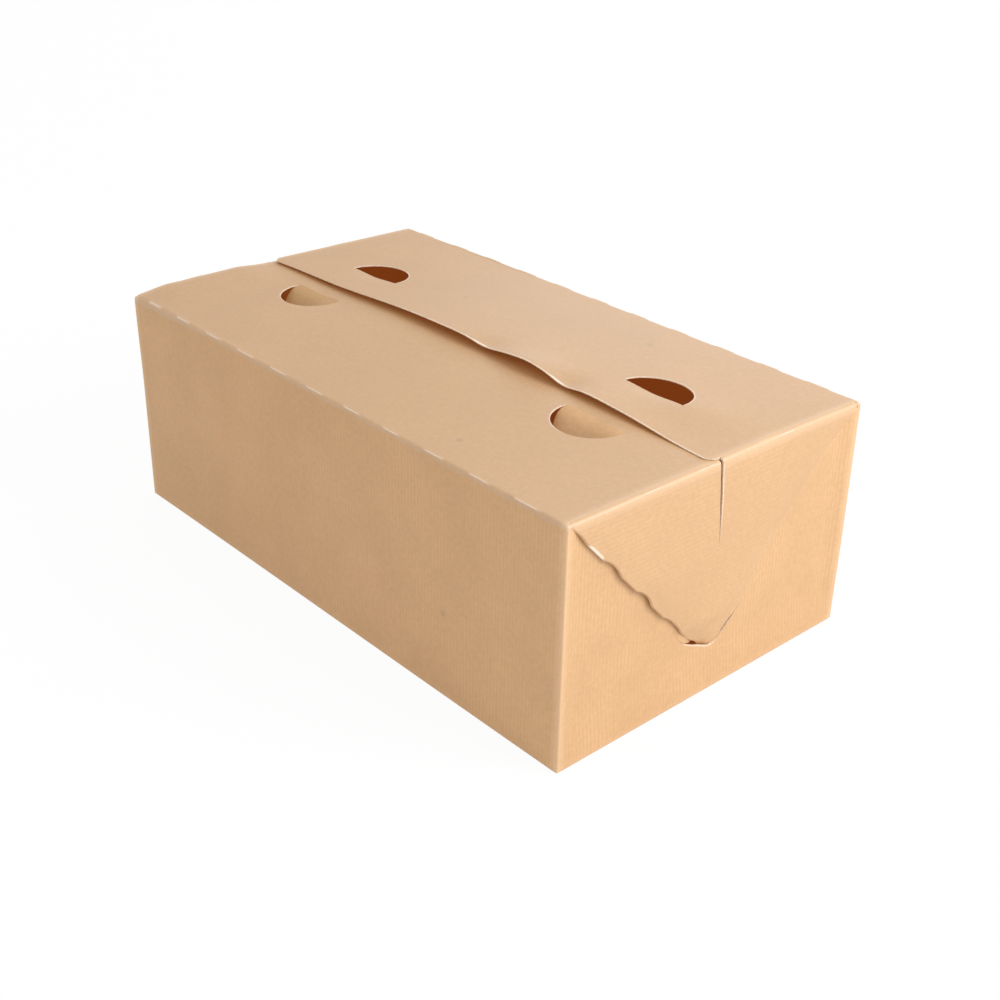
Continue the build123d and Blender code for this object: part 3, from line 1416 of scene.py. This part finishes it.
    def vent_outline(self, middle: float) -> list[Point]:
        """Hole of a vent on the flat pattern.

        Args:
            middle: Place of the vent along the box.

        Returns:
            The points of the hole.
        """
        radius, corner = self.sizes.vent_radius, self.vent_corner
        over = math.degrees(math.asin((self.tab_rise - corner) / radius))
        rounded = arc((middle, self.vent_row), radius, 180.0 - over, 360.0 + over, 40)
        hinge = self.vent_row + self.tab_rise
        reach = math.sqrt(radius**2 - self.tab_rise**2)
        for turn in (1.0, -1.0):
            inner = (middle + turn * (reach - corner), hinge)
            between = (middle + turn * (reach - corner * 0.25), hinge - corner * 0.25)
            rounded += [between, inner] if turn > 0.0 else [inner, between]
        return rounded

    def flap(self) -> Piece:
        """Makes the flap itself.

        Returns:
            The flap.
        """
        s = self.sizes
        free = self.fold_length + s.lid_span
        cut = s.lid_corner_cut - s.end_fold
        reach = s.lid_end + s.end_fold * math.pi / 2.0 - 0.02
        shoulder = self.fold_length + self.shoulder
        half = [
            (reach, -self.skirt),
            (reach, shoulder),
            (s.lid_end, shoulder),
            (s.lid_end, free - cut + self.skew),
            (s.lid_end - cut, free + self.skew),
        ]
        mirrored = [(-u, v - 2.0 * self.skew if v > shoulder else v) for u, v in reversed(half)]
        fold_rows = {-self.skirt, -self.skirt / 2.0, *spread(0.0, self.fold_length, 0.2)}
        rows = sorted({*fold_rows, *spread(self.fold_length, free, 2.0)})
        turns = spread(s.lid_end, reach, 0.35)
        columns = sorted({*spread(-s.lid_end, s.lid_end, 1.6), *turns, *(-u for u in turns)})
        edge_columns = [u for u in columns if abs(u) < s.lid_end - cut]
        middles = [end.value * s.vent_middle for end in End]
        beside = []
        for inset in self.edge_rows:
            beside.extend((u, free + self.skew * u / s.lid_end - inset) for u in edge_columns)
            for middle in middles:
                beside.extend(arc((middle, self.vent_row), s.vent_radius + inset, 180.0, 360.0, 50))
        holes = [self.vent_outline(middle) for middle in middles]
        pattern = FlatPattern(half + mirrored, columns, rows, holes, beside, margin=0.1)

        def bare(u: float, v: float) -> float:
            """Torn fibres in the cuts along the long fold, and painted highlights: a pale line along the
            free edge that is partly its bare fibres, a wider sheen where that edge curls up, and the lit
            rims of the vents.

            Args:
                u: First coordinate on the flat pattern.
                v: Second coordinate on the flat pattern.

            Returns:
                How bare the board is.
            """
            nick = self.nick_pale * self.fold.nick(u) * bump(v, self.fold_length * 0.62, self.nick_reach)
            edge = free + self.skew * u / s.lid_end - v
            # A painted sheen where the free edge curls up widens its pale line.
            lip = sum(self.lip_width * bump(u, place, self.lip_reach) for place in self.lip_places)
            # Painted highlight along the free edge, over its bare fibres.
            free_edge_highlight = self.edge_pale * smooth(0.4 + lip, 0.16 + lip, edge) * smooth(*self.cut_edge_span, u)
            if v >= self.vent_row:
                return max(nick, free_edge_highlight)
            from_vent = abs(u) - s.vent_middle
            rim = math.hypot(from_vent, v - self.vent_row) - s.vent_radius
            # Painted highlight on the lit side of a vent's rim; on the back flap all round the rim.
            lit_rim_share = smooth(*self.vent_pale_span, math.copysign(1.0, u) * from_vent)
            rim_highlight = self.vent_pale * smooth(0.5, 0.25, rim)
            return max(nick, free_edge_highlight, rim_highlight * (lit_rim_share if self.side is Side.FRONT else 1.0))

        def wear(u: float, v: float) -> float:
            """Paler board along the folds: worn board with a painted highlight, most where the flap turns
            down at its ends.
            """
            long_fold = self.long_wear * bump(v, self.fold_length * 0.5, 1.0)
            return long_fold + self.end_wear * bump(abs(u), s.lid_end, 1.6)

        name = f"{self.side.label}_lid_flap"
        sheet = CardSheet(name, pattern, self.bend, self.cut_board, -self.side.value, bare, wear)
        return sheet.build(self.finish)

    def tab(self, end: End) -> Piece:
        """Makes the tab that was pushed in to open a vent.

        Args:
            end: End that the vent is nearer to.

        Returns:
            The tab.
        """
        s = self.sizes
        middle = end.value * s.vent_middle
        radius = s.vent_radius - s.vent_cut_gap
        turn = self.tab_bend * math.radians(self.tab_fall)

        def bend(u: float, v: float) -> Vector:
            """Turns the tab down from its hinge.

            Args:
                u: First coordinate on the flat pattern.
                v: Second coordinate on the flat pattern.

            Returns:
                The spot in the row frame, in millimetres.
            """
            angle = min(max(v, 0.0), turn) / self.tab_bend
            out = self.tab_bend * math.sin(angle)
            drop = self.tab_bend * (1.0 - math.cos(angle))
            rest = max(0.0, v - turn) + min(v, 0.0)
            out += rest * math.cos(angle)
            drop += rest * math.sin(angle)
            if end is End.LEFT:
                drop *= 1.0 - self.left_twist * smooth(*self.twist_span, u)
            y = self.side.value * (s.vent_hinge - self.tab_rise + out)
            return Vector((middle + u, y, self.top(middle + u, self.hinge_along) - drop))

        over = math.degrees(math.asin(self.tab_rise / radius))
        outline = arc((0.0, self.tab_rise), radius, -over, 180.0 + over, 40)
        rows = sorted({*spread(0.0, turn, 0.6), *spread(turn, radius + self.tab_rise, 1.5)})
        pattern = FlatPattern(outline, spread(-radius, radius, 1.5), rows, margin=0.1)
        name = f"{self.side.label}_{end.label}_vent_tab"
        sheet = CardSheet(name, pattern, bend, self.cut_board, self.side.value)
        return sheet.build(self.tab_finishes.get(end, self.finish))

    def build(self) -> list[Piece]:
        """Makes the flap and its tabs."""
        return [self.flap(), *(self.tab(end) for end in End)]


@dataclass(frozen=True)
class EdgeBite:
    """A shallow bite in a slanting fold, placed by its distance from the ear's apex."""

    distance: float
    length: float
    depth: float


@dataclass
class TuckEar:
    """A triangular ear: two outer halves with a seam between them, a lining and the fold they hang on."""

    sizes: BoxSizes
    finish: BoardFinish
    end: End
    lids: dict[Side, LidFlap]
    curl: float = 0.8
    seam_top: float = -2.5
    seam_middle: float = -1.1
    seam_open: float = 34.0
    seam_width: float = 1.3
    hairline: float = 0.05
    notch_width: float = 6.0
    bites: tuple[EdgeBite, ...] = (
        EdgeBite(30.5, 15.0, 1.25),
        EdgeBite(55.0, 13.0, 1.45),
        EdgeBite(80.5, 13.0, 1.15),
        EdgeBite(106.0, 12.0, 0.5),
    )
    front_press: float = 0.55
    front_reach: float = 7.0
    edge_rows: tuple[float, ...] = (0.25, 0.5, 0.8, 1.3)
    back_stand: float = 0.12
    back_reach: float = 12.0
    back_bites: float = 0.35
    raw_start: float = 87.0
    raw_end: float = 100.0
    corner_cut: float = 9.0
    lining_inset: float = 3.2
    front_drift: float = 2.5
    drift_end: float = 105.0
    drift_length: float = 90.0
    tip_in: float = 0.65
    tip_in_span: Point = (30.0, 22.0)
    tip_flare: float = 3.4
    flare_span: Point = (48.0, 25.0)
    back_bow: float = 0.6
    bow_reach: float = 45.0
    deep_span: Point = (6.0, -4.0)
    slant_wear: float = 0.1
    # Paler end fold: worn board with a painted highlight on the rounded fold.
    fold_wear: float = 0.4
    front_tip_depth: float = 1.4
    tip_end: float = 15.5
    tip_starts: dict[Side, float] = field(default_factory=lambda: {Side.FRONT: 17.5, Side.BACK: 19.0})
    tips: dict[Side, tuple[Point, ...]] = field(
        default_factory=lambda: {
            Side.FRONT: (
                (-12.0, 27.9), (-8.4, 25.2), (-5.6, 23.3),
                (-3.4, 21.0), (-3.2, 18.5), (-3.0, 15.5),
            ),
            Side.BACK: ((12.3, 27.2), (8.3, 23.6), (6.2, 20.2), (5.2, 15.5)),
        }
    )
    fold_cuts: tuple[float, ...] = (-38.5, -10.5, 34.0)
    cut_reach: float = 4.5
    cut_lip: float = 0.25
    cut_pale: float = 0.4
    corner_tuck: float = 0.6
    tuck_reach: float = 1.2

    def half_width(self, z: float) -> float:
        """Half of the ear's width at a height, up to its slanting folds."""
        return (z - self.sizes.ear_apex) * math.tan(self.sizes.ear_lean)

    def seam(self, z: float) -> tuple[float, float]:
        """Middle and width of the centre seam at a height.

        Args:
            z: Height.

        Returns:
            Where the seam's middle lies across the box, and its width.
        """
        s = self.sizes
        share = min(1.0, max(0.0, (s.height - z) / self.seam_open))
        middle = self.seam_top + (self.seam_middle - self.seam_top) * share
        return middle, self.hairline + (self.seam_width - self.hairline) * (1.0 - share**3)

    def face(self, y: float, z: float) -> float:
        """Depth of the ear's outer face from the middle of the box.

        Args:
            y: Place across the box.
            z: Height.

        Returns:
            The depth.
        """
        s = self.sizes
        first = s.height - s.ear_gap * math.sqrt(2.0)
        share = (first - z) / (first - s.slot_top)
        bow = s.ear_bow * (1.0 - self.back_bow * smooth(0.0, self.bow_reach, y))
        low = bow / 3.0
        if share <= 1.0:
            return s.half_length + (4.0 * bow - low) * share - (4.0 * bow - 2.0 * low) * share * share
        down = (s.slot_top - z) / (s.slot_top - s.ear_apex)
        deep = s.ear_tip_depth + self.front_tip_depth * smooth(*self.deep_span, y)
        return s.half_length + low - (deep + low) * down

    def edge_out(self, side: Side, distance: float) -> float:
        """How far a slanting fold lies outside its straight line.

        Args:
            side: Half of the ear.
            distance: Distance from the ear's apex along the line.

        Returns:
            The distance across the line, less where the fold is bitten.
        """
        bitten = 0.0
        for bite in self.bites:
            share = abs(distance - bite.distance) / (bite.length / 2.0)
            bitten = max(bitten, bite.depth * (1.0 - share * share))
        if side is Side.FRONT:
            drift = self.front_drift * (self.drift_end - distance) / self.drift_length
            return drift - self.tip_in * smooth(*self.tip_in_span, distance) - bitten
        return self.tip_flare * smooth(*self.flare_span, distance) - bitten * self.back_bites

    def inside_edge(self, y: float, z: float) -> tuple[float, float]:
        """Distance of a spot from the apex along the nearest slanting line, and inwards from its fold.

        Args:
            y: Place across the box.
            z: Height.

        Returns:
            The two distances.
        """
        lean = self.sizes.ear_lean
        rise = z - self.sizes.ear_apex
        distance = abs(y) * math.sin(lean) + rise * math.cos(lean)
        out = abs(y) * math.cos(lean) - rise * math.sin(lean)
        side = Side.BACK if y > 0.0 else Side.FRONT
        return distance, self.edge_out(side, distance) - out

    def bend(self, z: float, y: float) -> Vector:
        """Puts a spot of the outer layer in place, curled over at the slanting folds.

        Args:
            z: Height.
            y: Place across the box.

        Returns:
            The spot in the row frame, in millimetres.
        """
        s = self.sizes
        gap = max(0.0, self.inside_edge(y, z)[1])
        depth = self.face(y, z)
        below_fold = smooth(s.ear_top, s.ear_top - 12.0, z)
        if y > 0.0:
            stand = max(0.0, depth - s.end_face - self.back_stand)
            roll = stand * smooth(self.back_reach, 0.0, gap) * below_fold
        else:
            near = min(self.curl, gap)
            roll = self.curl - math.sqrt(max(0.0, self.curl**2 - (self.curl - near) ** 2))
            roll += self.front_press * smooth(self.front_reach, 0.0, gap) * below_fold
        return Vector((self.end.value * (depth - roll), y, z))

    def slant(self, side: Side) -> list[Point]:
        """Slanting fold of one half, from the top down to where its tip enters the slot.

        Args:
            side: Side of the half.

        Returns:
            Points across and up, from the top.
        """
        s = self.sizes
        lean = s.ear_lean
        top = (s.ear_top - s.ear_apex) / math.cos(lean)
        points = []
        for distance in reversed(spread(self.tip_starts[side], top, 0.8)):
            out = self.edge_out(side, distance)
            y = distance * math.sin(lean) + out * math.cos(lean)
            z = s.ear_apex + distance * math.cos(lean) - out * math.sin(lean)
            points.append((side.value * y, min(z, s.ear_top)))
        return points

    def half(self, side: Side) -> Piece:
        """Makes one half of the outer layer, which continues a lid flap.

        Args:
            side: Side of the half.

        Returns:
            The half.
        """
        s = self.sizes
        edge = self.slant(side)
        inner = []
        for z in spread(self.tip_end, s.ear_top, 1.2):
            seam_y, width = self.seam(z)
            inner.append((seam_y + side.value * width / 2.0, z))
        outline = [*edge, *self.tips[side], *inner]
        if side is Side.BACK:
            outline = outline[::-1]
        reach = self.half_width(s.ear_top)
        upright = [(z, y) for y, z in reversed(outline)]
        heights = spread(self.tip_end, s.ear_top, 2.2)
        beside = []
        for inset in self.edge_rows:
            for y, z in edge:
                y -= side.value * inset * math.cos(s.ear_lean)
                beside.append((z + inset * math.sin(s.ear_lean), y))
            beside.extend((z, y + side.value * inset) for y, z in inner)
        pattern = FlatPattern(
            upright, heights, spread(-reach, reach, 2.2), extra=beside, margin=0.12, step=0.8
        )

        def wear(u: float, v: float) -> float:
            """Paler board along the slanting fold and the fold at the top: worn board with a painted
            highlight.
            """
            gap = self.inside_edge(v, u)[1]
            return self.slant_wear * bump(gap, 0.0, 0.9) + self.fold_wear * bump(u, s.ear_top, 1.5)

        def bare(u: float, v: float) -> float:
            """White fibres beside the open seam, and where the front edge is torn near the top.

            Args:
                u: First coordinate on the flat pattern.
                v: Second coordinate on the flat pattern.

            Returns:
                How bare the board is.
            """
            if side is Side.BACK:
                seam_y, width = self.seam(u)
                return 0.6 * smooth(0.3, 1.2, width) * smooth(0.6, 0.3, v - seam_y - width / 2.0)
            distance, gap = self.inside_edge(v, u)
            torn = smooth(self.raw_start - 1.0, self.raw_start + 3.0, distance)
            torn *= smooth(self.raw_end + 1.0, self.raw_end - 3.0, distance)
            return torn * smooth(1.0 * torn + 0.05, 0.5 * torn, gap)

        name = f"{self.end.label}_ear_{side.label}_half"
        sheet = CardSheet(name, pattern, self.bend, s.board, -self.end.value, bare, wear)
        return sheet.build(self.finish)

    def lining(self) -> Piece:
        """Makes the inner layer, the gusset that is folded against the end wall.

        Returns:
            The lining.
        """
        s = self.sizes
        reach = s.ear_top + 0.6
        low = s.slot_top
        shoulder = reach - self.corner_cut / math.tan(s.ear_lean)
        insets = {Side.FRONT: self.lining_inset, Side.BACK: self.back_reach + 1.0}

        def across(side: Side, z: float) -> float:
            """Where the lining's slanting edge lies at a height."""
            apex = s.ear_apex + insets[side] / math.sin(s.ear_lean)
            return side.value * (z - apex) * math.tan(s.ear_lean)

        notch = self.notch_width / 2.0
        notch_end = s.height - self.seam_open
        outline = [
            (reach, self.seam_top - notch),
            (reach, across(Side.FRONT, shoulder)),
            (shoulder, across(Side.FRONT, shoulder)),
            (low, across(Side.FRONT, low)),
            (low, across(Side.BACK, low)),
            (shoulder, across(Side.BACK, shoulder)),
            (reach, across(Side.BACK, shoulder)),
            (reach, self.seam_top + notch),
            (notch_end, self.seam_middle + 0.2),
            (notch_end, self.seam_middle - 0.2),
        ]
        rows = spread(low, reach, 2.5)
        columns = spread(across(Side.FRONT, shoulder), across(Side.BACK, shoulder), 3.0)
        depth = s.board + 0.05

        def bend(u: float, v: float) -> Vector:
            """Puts a spot of the lining in place behind the outer layer."""
            return Vector((self.end.value * (self.face(v, u) - depth), v, u))

        pattern = FlatPattern(outline, rows, columns, step=1.5)
        name = f"{self.end.label}_ear_lining"
        return CardSheet(name, pattern, bend, s.board * 0.9, -self.end.value).build(self.finish)

    def nick(self, y: float) -> float:
        """Share by which a spot of the end fold lies in one of its cuts."""
        away = min(abs(y - cut) for cut in self.fold_cuts)
        return smooth(self.cut_reach + 0.6, self.cut_reach - 0.9, away)

    def fold(self, side: Side) -> Piece:
        """Makes the fold between a lid flap's end and a half of the ear.

        Args:
            side: Side of the half.

        Returns:
            The fold.
        """
        s = self.sizes
        lid = self.lids[side]
        seam_y, width = self.seam(s.height)
        inner = side.value * (seam_y + side.value * width / 2.0)
        outer = self.half_width(s.ear_top)

        def bend(u: float, v: float) -> Vector:
            """Rounds the corner from the lid down to the ear.

            Args:
                u: First coordinate on the flat pattern.
                v: Second coordinate on the flat pattern.

            Returns:
                The spot in the row frame, in millimetres.
            """
            y = side.value * v
            along = s.lid_fold_y - v
            top = lid.top(self.end.value * s.lid_end, along)
            slope = (top - lid.top(self.end.value * (s.lid_end - 0.1), along)) / 0.1
            low_x = self.face(y, s.ear_top)
            lip = self.cut_lip * self.nick(y) * bump(u, 0.5, 0.1)
            x = (1 - u) ** 2 * s.lid_end + 2 * u * (1 - u) * low_x + u * u * low_x
            z = (1 - u) ** 2 * top + 2 * u * (1 - u) * (top + slope * s.end_fold) + u * u * s.ear_top
            tuck = self.corner_tuck * bump(v, outer, self.tuck_reach)
            return Vector((self.end.value * (x + lip - tuck * u), y, z + lip - tuck * (1.0 - u) * 0.4))

        outline = [(0.0, inner), (1.0, inner), (1.0, outer), (0.0, outer)]
        rows = spread(inner, outer, 1.0)
        pattern = FlatPattern(outline, spread(0.0, 1.0, 0.0625), rows, margin=0.001)

        def bare(u: float, v: float) -> float:
            """Torn fibres in the cuts of the fold."""
            return self.cut_pale * self.nick(side.value * v) * bump(u, 0.5, 0.12)

        def wear(u: float, v: float) -> float:
            """Paler board over the whole fold: a painted highlight on the rounded fold, with its wear."""
            return self.fold_wear

        name = f"{self.end.label}_end_fold_{side.label}"
        outward = self.end.value * side.value
        sheet = CardSheet(name, pattern, bend, s.board, outward, bare, wear, step_u=FOLD_STEP)
        return sheet.build(self.finish)

    def build(self) -> tuple[list[Piece], list[Piece]]:
        """Makes the ear.

        Returns:
            The pieces that swing with the ear, and the folds between it and the lid flaps.
        """
        swinging = [self.half(Side.FRONT), self.half(Side.BACK), self.lining()]
        return swinging, [self.fold(side) for side in Side]


@dataclass(frozen=True)
class Lamp:
    """A soft area lamp, placed in metres."""

    name: str
    place: Triple
    aim: Triple
    size: float
    power: float
    colour: Triple = (0.95, 1.0, 1.1)

    def build(self) -> Piece:
        """Hangs the lamp.

        Returns:
            The lamp's object.
        """
        data = bpy.data.lights.new(self.name, "AREA")
        data.shape = "DISK"
        data.size = self.size
        data.energy = self.power
        data.color = self.colour
        lamp = bpy.data.objects.new(self.name, data)
        lamp.location = self.place
        aim = Vector(self.aim) - Vector(self.place)
        lamp.rotation_euler = aim.to_track_quat("-Z", "Y").to_euler()
        bpy.context.scene.collection.objects.link(lamp)
        return lamp


@dataclass
class Studio:
    """Camera, floor and light of the picture."""

    camera_place: Triple = (449.4, -388.1, 339.2)
    camera_aim: Triple = (42.1, -20.25, 50.0)
    camera_roll: float = 1.167
    focal_pixels: float = 1518.3
    image_pixels: float = 1000.0
    sensor: float = 36.0
    floor_reach: float = 8.0
    floor_white: float = 0.9
    floor_share: float = 0.93
    sky_light: float = 0.88
    lamps: tuple[Lamp, ...] = (
        Lamp("key_lamp", (0.85, 0.35, 0.6), (0.1, 0.0, 0.05), 0.6, 7.2),
        Lamp("back_panel", (-0.9, 1.5, 0.5), (0.0, 0.0, 0.1), 1.2, 4.0),
    )

    def camera(self) -> None:
        """Places the camera at the photograph's view."""
        data = bpy.data.cameras.new("camera")
        data.sensor_width = self.sensor
        data.lens = self.focal_pixels * self.sensor / self.image_pixels
        data.clip_start = 0.01
        camera = bpy.data.objects.new("camera", data)
        place = Vector(self.camera_place) * MM
        ahead = (Vector(self.camera_aim) * MM - place).normalized()
        right = ahead.cross(Vector((0.0, 0.0, 1.0))).normalized()
        above = right.cross(ahead)
        roll = math.radians(self.camera_roll)
        tilted_right = right * math.cos(roll) + above * math.sin(roll)
        tilted_above = above * math.cos(roll) - right * math.sin(roll)
        turn = Matrix((tilted_right, tilted_above, -ahead)).transposed()
        camera.matrix_world = Matrix.Translation(place) @ turn.to_4x4()
        bpy.context.scene.collection.objects.link(camera)
        bpy.context.scene.camera = camera

    def floor(self) -> None:
        """Lays a plain white floor that shows a faint shadow."""
        reach = self.floor_reach
        mesh = bpy.data.meshes.new("floor")
        corners = [(-reach, -reach, 0.0), (reach, -reach, 0.0), (reach, reach, 0.0), (-reach, reach, 0.0)]
        mesh.from_pydata(corners, [], [(0, 1, 2, 3)])
        floor = bpy.data.objects.new("floor", mesh)
        material = bpy.data.materials.new("white_floor")
        graph = Graph(material)
        white = (self.floor_white, self.floor_white, self.floor_white, 1.0)
        matt = graph.node("ShaderNodeBsdfDiffuse", {}, {"Color": white})
        bright = graph.node("ShaderNodeEmission", {}, {"Color": WHITE, "Strength": 1.0})
        path = graph.node("ShaderNodeLightPath")
        seen = Wire(graph, path.outputs["Is Camera Ray"]) + Wire(graph, path.outputs["Is Glossy Ray"])
        share = (seen + Wire(graph, path.outputs["Is Transmission Ray"])) * self.floor_share
        shaders = {0: share, 1: matt.outputs[0], 2: bright.outputs[0]}
        graph.finish(graph.node("ShaderNodeMixShader", {}, shaders))
        mesh.materials.append(material)
        bpy.context.scene.collection.objects.link(floor)

    def sky(self) -> None:
        """Lights the scene evenly with a white surround, a little dimmer than it looks."""
        world = bpy.data.worlds.new("studio")
        graph = Graph(world)
        seen = graph.value("ShaderNodeLightPath", "Is Camera Ray")
        strength = seen * (1.0 - self.sky_light) + self.sky_light
        graph.finish(graph.node("ShaderNodeBackground", {}, {"Color": WHITE, "Strength": strength}))
        bpy.context.scene.world = world

    def build(self) -> None:
        """Sets up the whole studio."""
        self.camera()
        self.floor()
        self.sky()
        for lamp in self.lamps:
            lamp.build()
        bpy.context.scene.view_settings.view_transform = "Standard"


def ride_all(pieces: Sequence[Piece], body: str) -> None:
    """Lets pieces move with a body.

    Args:
        pieces: The pieces.
        body: Name of the body.
    """
    for piece in pieces:
        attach(piece, body)
        LOG.info("%s rides on %s with %d faces", piece.name, body, len(piece.data.polygons))


def board_finishes() -> dict[str, BoardFinish]:
    """Makes the finishes of the board.

    Returns:
        The finishes of the walls, the lid, the ears and the tabs, by name; the front flap's left tab has a
        darker copy of the liner, as painted shade.
    """
    specks = ((-36.9, 27.6, 103.9), (50.9, 54.5, 101.7), (68.9, -64.7, 100.5), (77.1, -79.0, 36.1))
    # Inner liner with a painted glow that stands in for light bounced inside the box.
    inner = InnerLiner().build("inner_liner")
    # The lid's underside glows warmer still: painted bounce light that tints the shade under the back
    # flap's free edge orange.
    painted_glow_underside = InnerLiner(glow=(0.13, 0.050, 0.008, 1.0)).build("lid_underside")
    raw_edge = RawEdge().build("raw_board_edge")
    liners = {
        "wall": KraftLiner(specks=specks, flute_depth=0.6),
        "lid": KraftLiner(
            dark=(0.470, 0.252, 0.090, 1.0),
            light=(0.605, 0.340, 0.132, 1.0),
            fibre=(0.92, 0.81, 0.67, 1.0),
            specks=specks,
            flute_depth=0.12,
            ior=1.8,
        ),
        "ear": KraftLiner(
            dark=(0.505, 0.270, 0.098, 1.0), light=(0.655, 0.368, 0.146, 1.0), flute_depth=0.4, ior=1.65
        ),
        "tab": KraftLiner(flute_depth=0.1),
        # Darker, less glossy copy of the liner for the front flap's left tab: painted shade, as that tab
        # lies further from the key lamp.
        "left_tab": KraftLiner(
            dark=(0.450, 0.248, 0.094, 1.0), light=(0.580, 0.338, 0.140, 1.0), flute_depth=0.1, ior=1.35
        ),
    }
    return {
        name: BoardFinish(liner.build(f"{name}_liner"), painted_glow_underside if name == "lid" else inner, raw_edge)
        for name, liner in liners.items()
    }


def lid_flaps(sizes: BoxSizes, finishes: dict[str, BoardFinish]) -> dict[Side, LidFlap]:
    """Describes the two lid flaps, each with its own dents and wear, with painted shade on the front flap's
    left tab and a painted sheen where the back flap's free edge curls up.

    Args:
        sizes: Sizes of the box.
        finishes: Finishes of the board.

    Returns:
        The lower flap at the front and the upper one at the back.
    """
    slack = EdgeDip(-84.0, 1.6, 36.0, 55.0)
    front = LidFlap(
        sizes,
        finishes["lid"],
        Side.FRONT,
        (slack, EdgeDip(20.0, 1.9, 75.0, 20.0)),
        # The left tab's finish is a darker copy of the liner: painted shade.
        tab_finishes={End.RIGHT: finishes["tab"], End.LEFT: finishes["left_tab"]},
        left_twist=0.6,
        tab_rise=3.0,
        tab_fall=35.0,
        tab_bend=13.0,
        left_swell=1.7,
    )
    back_dips = (
        slack,
        EdgeDip(15.0, 1.3, 9.0, 8.0),
        EdgeDip(41.0, -1.3, 12.0, 12.0),
        EdgeDip(62.5, 1.7, 8.0, 8.0),
        EdgeDip(124.0, 1.2, 22.0, 25.0),
        EdgeDip(108.0, -1.0, 16.0, 15.0, 24.0),
    )
    back = LidFlap(
        sizes,
        finishes["lid"],
        Side.BACK,
        back_dips,
        tab_rise=1.5,
        tab_bend=3.0,
        skew=0.9,
        # Places where the back flap's free edge curls up and shows a painted sheen.
        lip_places=(12.0, 58.5),
    )
    return {Side.FRONT: front, Side.BACK: back}


def main() -> None:
    """Builds the box around its frame."""
    logging.basicConfig(level=logging.INFO)
    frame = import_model()
    sizes = BoxSizes.from_frame(frame)
    finishes = board_finishes()
    tray = Tray(sizes, finishes["wall"]).build()
    lids = lid_flaps(sizes, finishes)
    carton = tray + [piece for flap in lids.values() for piece in flap.build()]
    ride_all(carton, "box")
    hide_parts("carton")
    for end in End:
        name = end.label
        swinging, folds = TuckEar(sizes, finishes["ear"], end, lids).build()
        ride_all(swinging, f"{name}_ear")
        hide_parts(f"{name}_tuck_ear")
        start = (end.value * sizes.lid_end * MM, 0.0, sizes.height * MM)
        stop = (end.value * sizes.half_length * MM, 0.0, sizes.ear_top * MM)
        for fold in folds:
            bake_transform(fold)
            LOG.info("%s bends from box to %s_ear", fold.name, name)
    Studio().build()


if __name__ == "__main__":
    main()
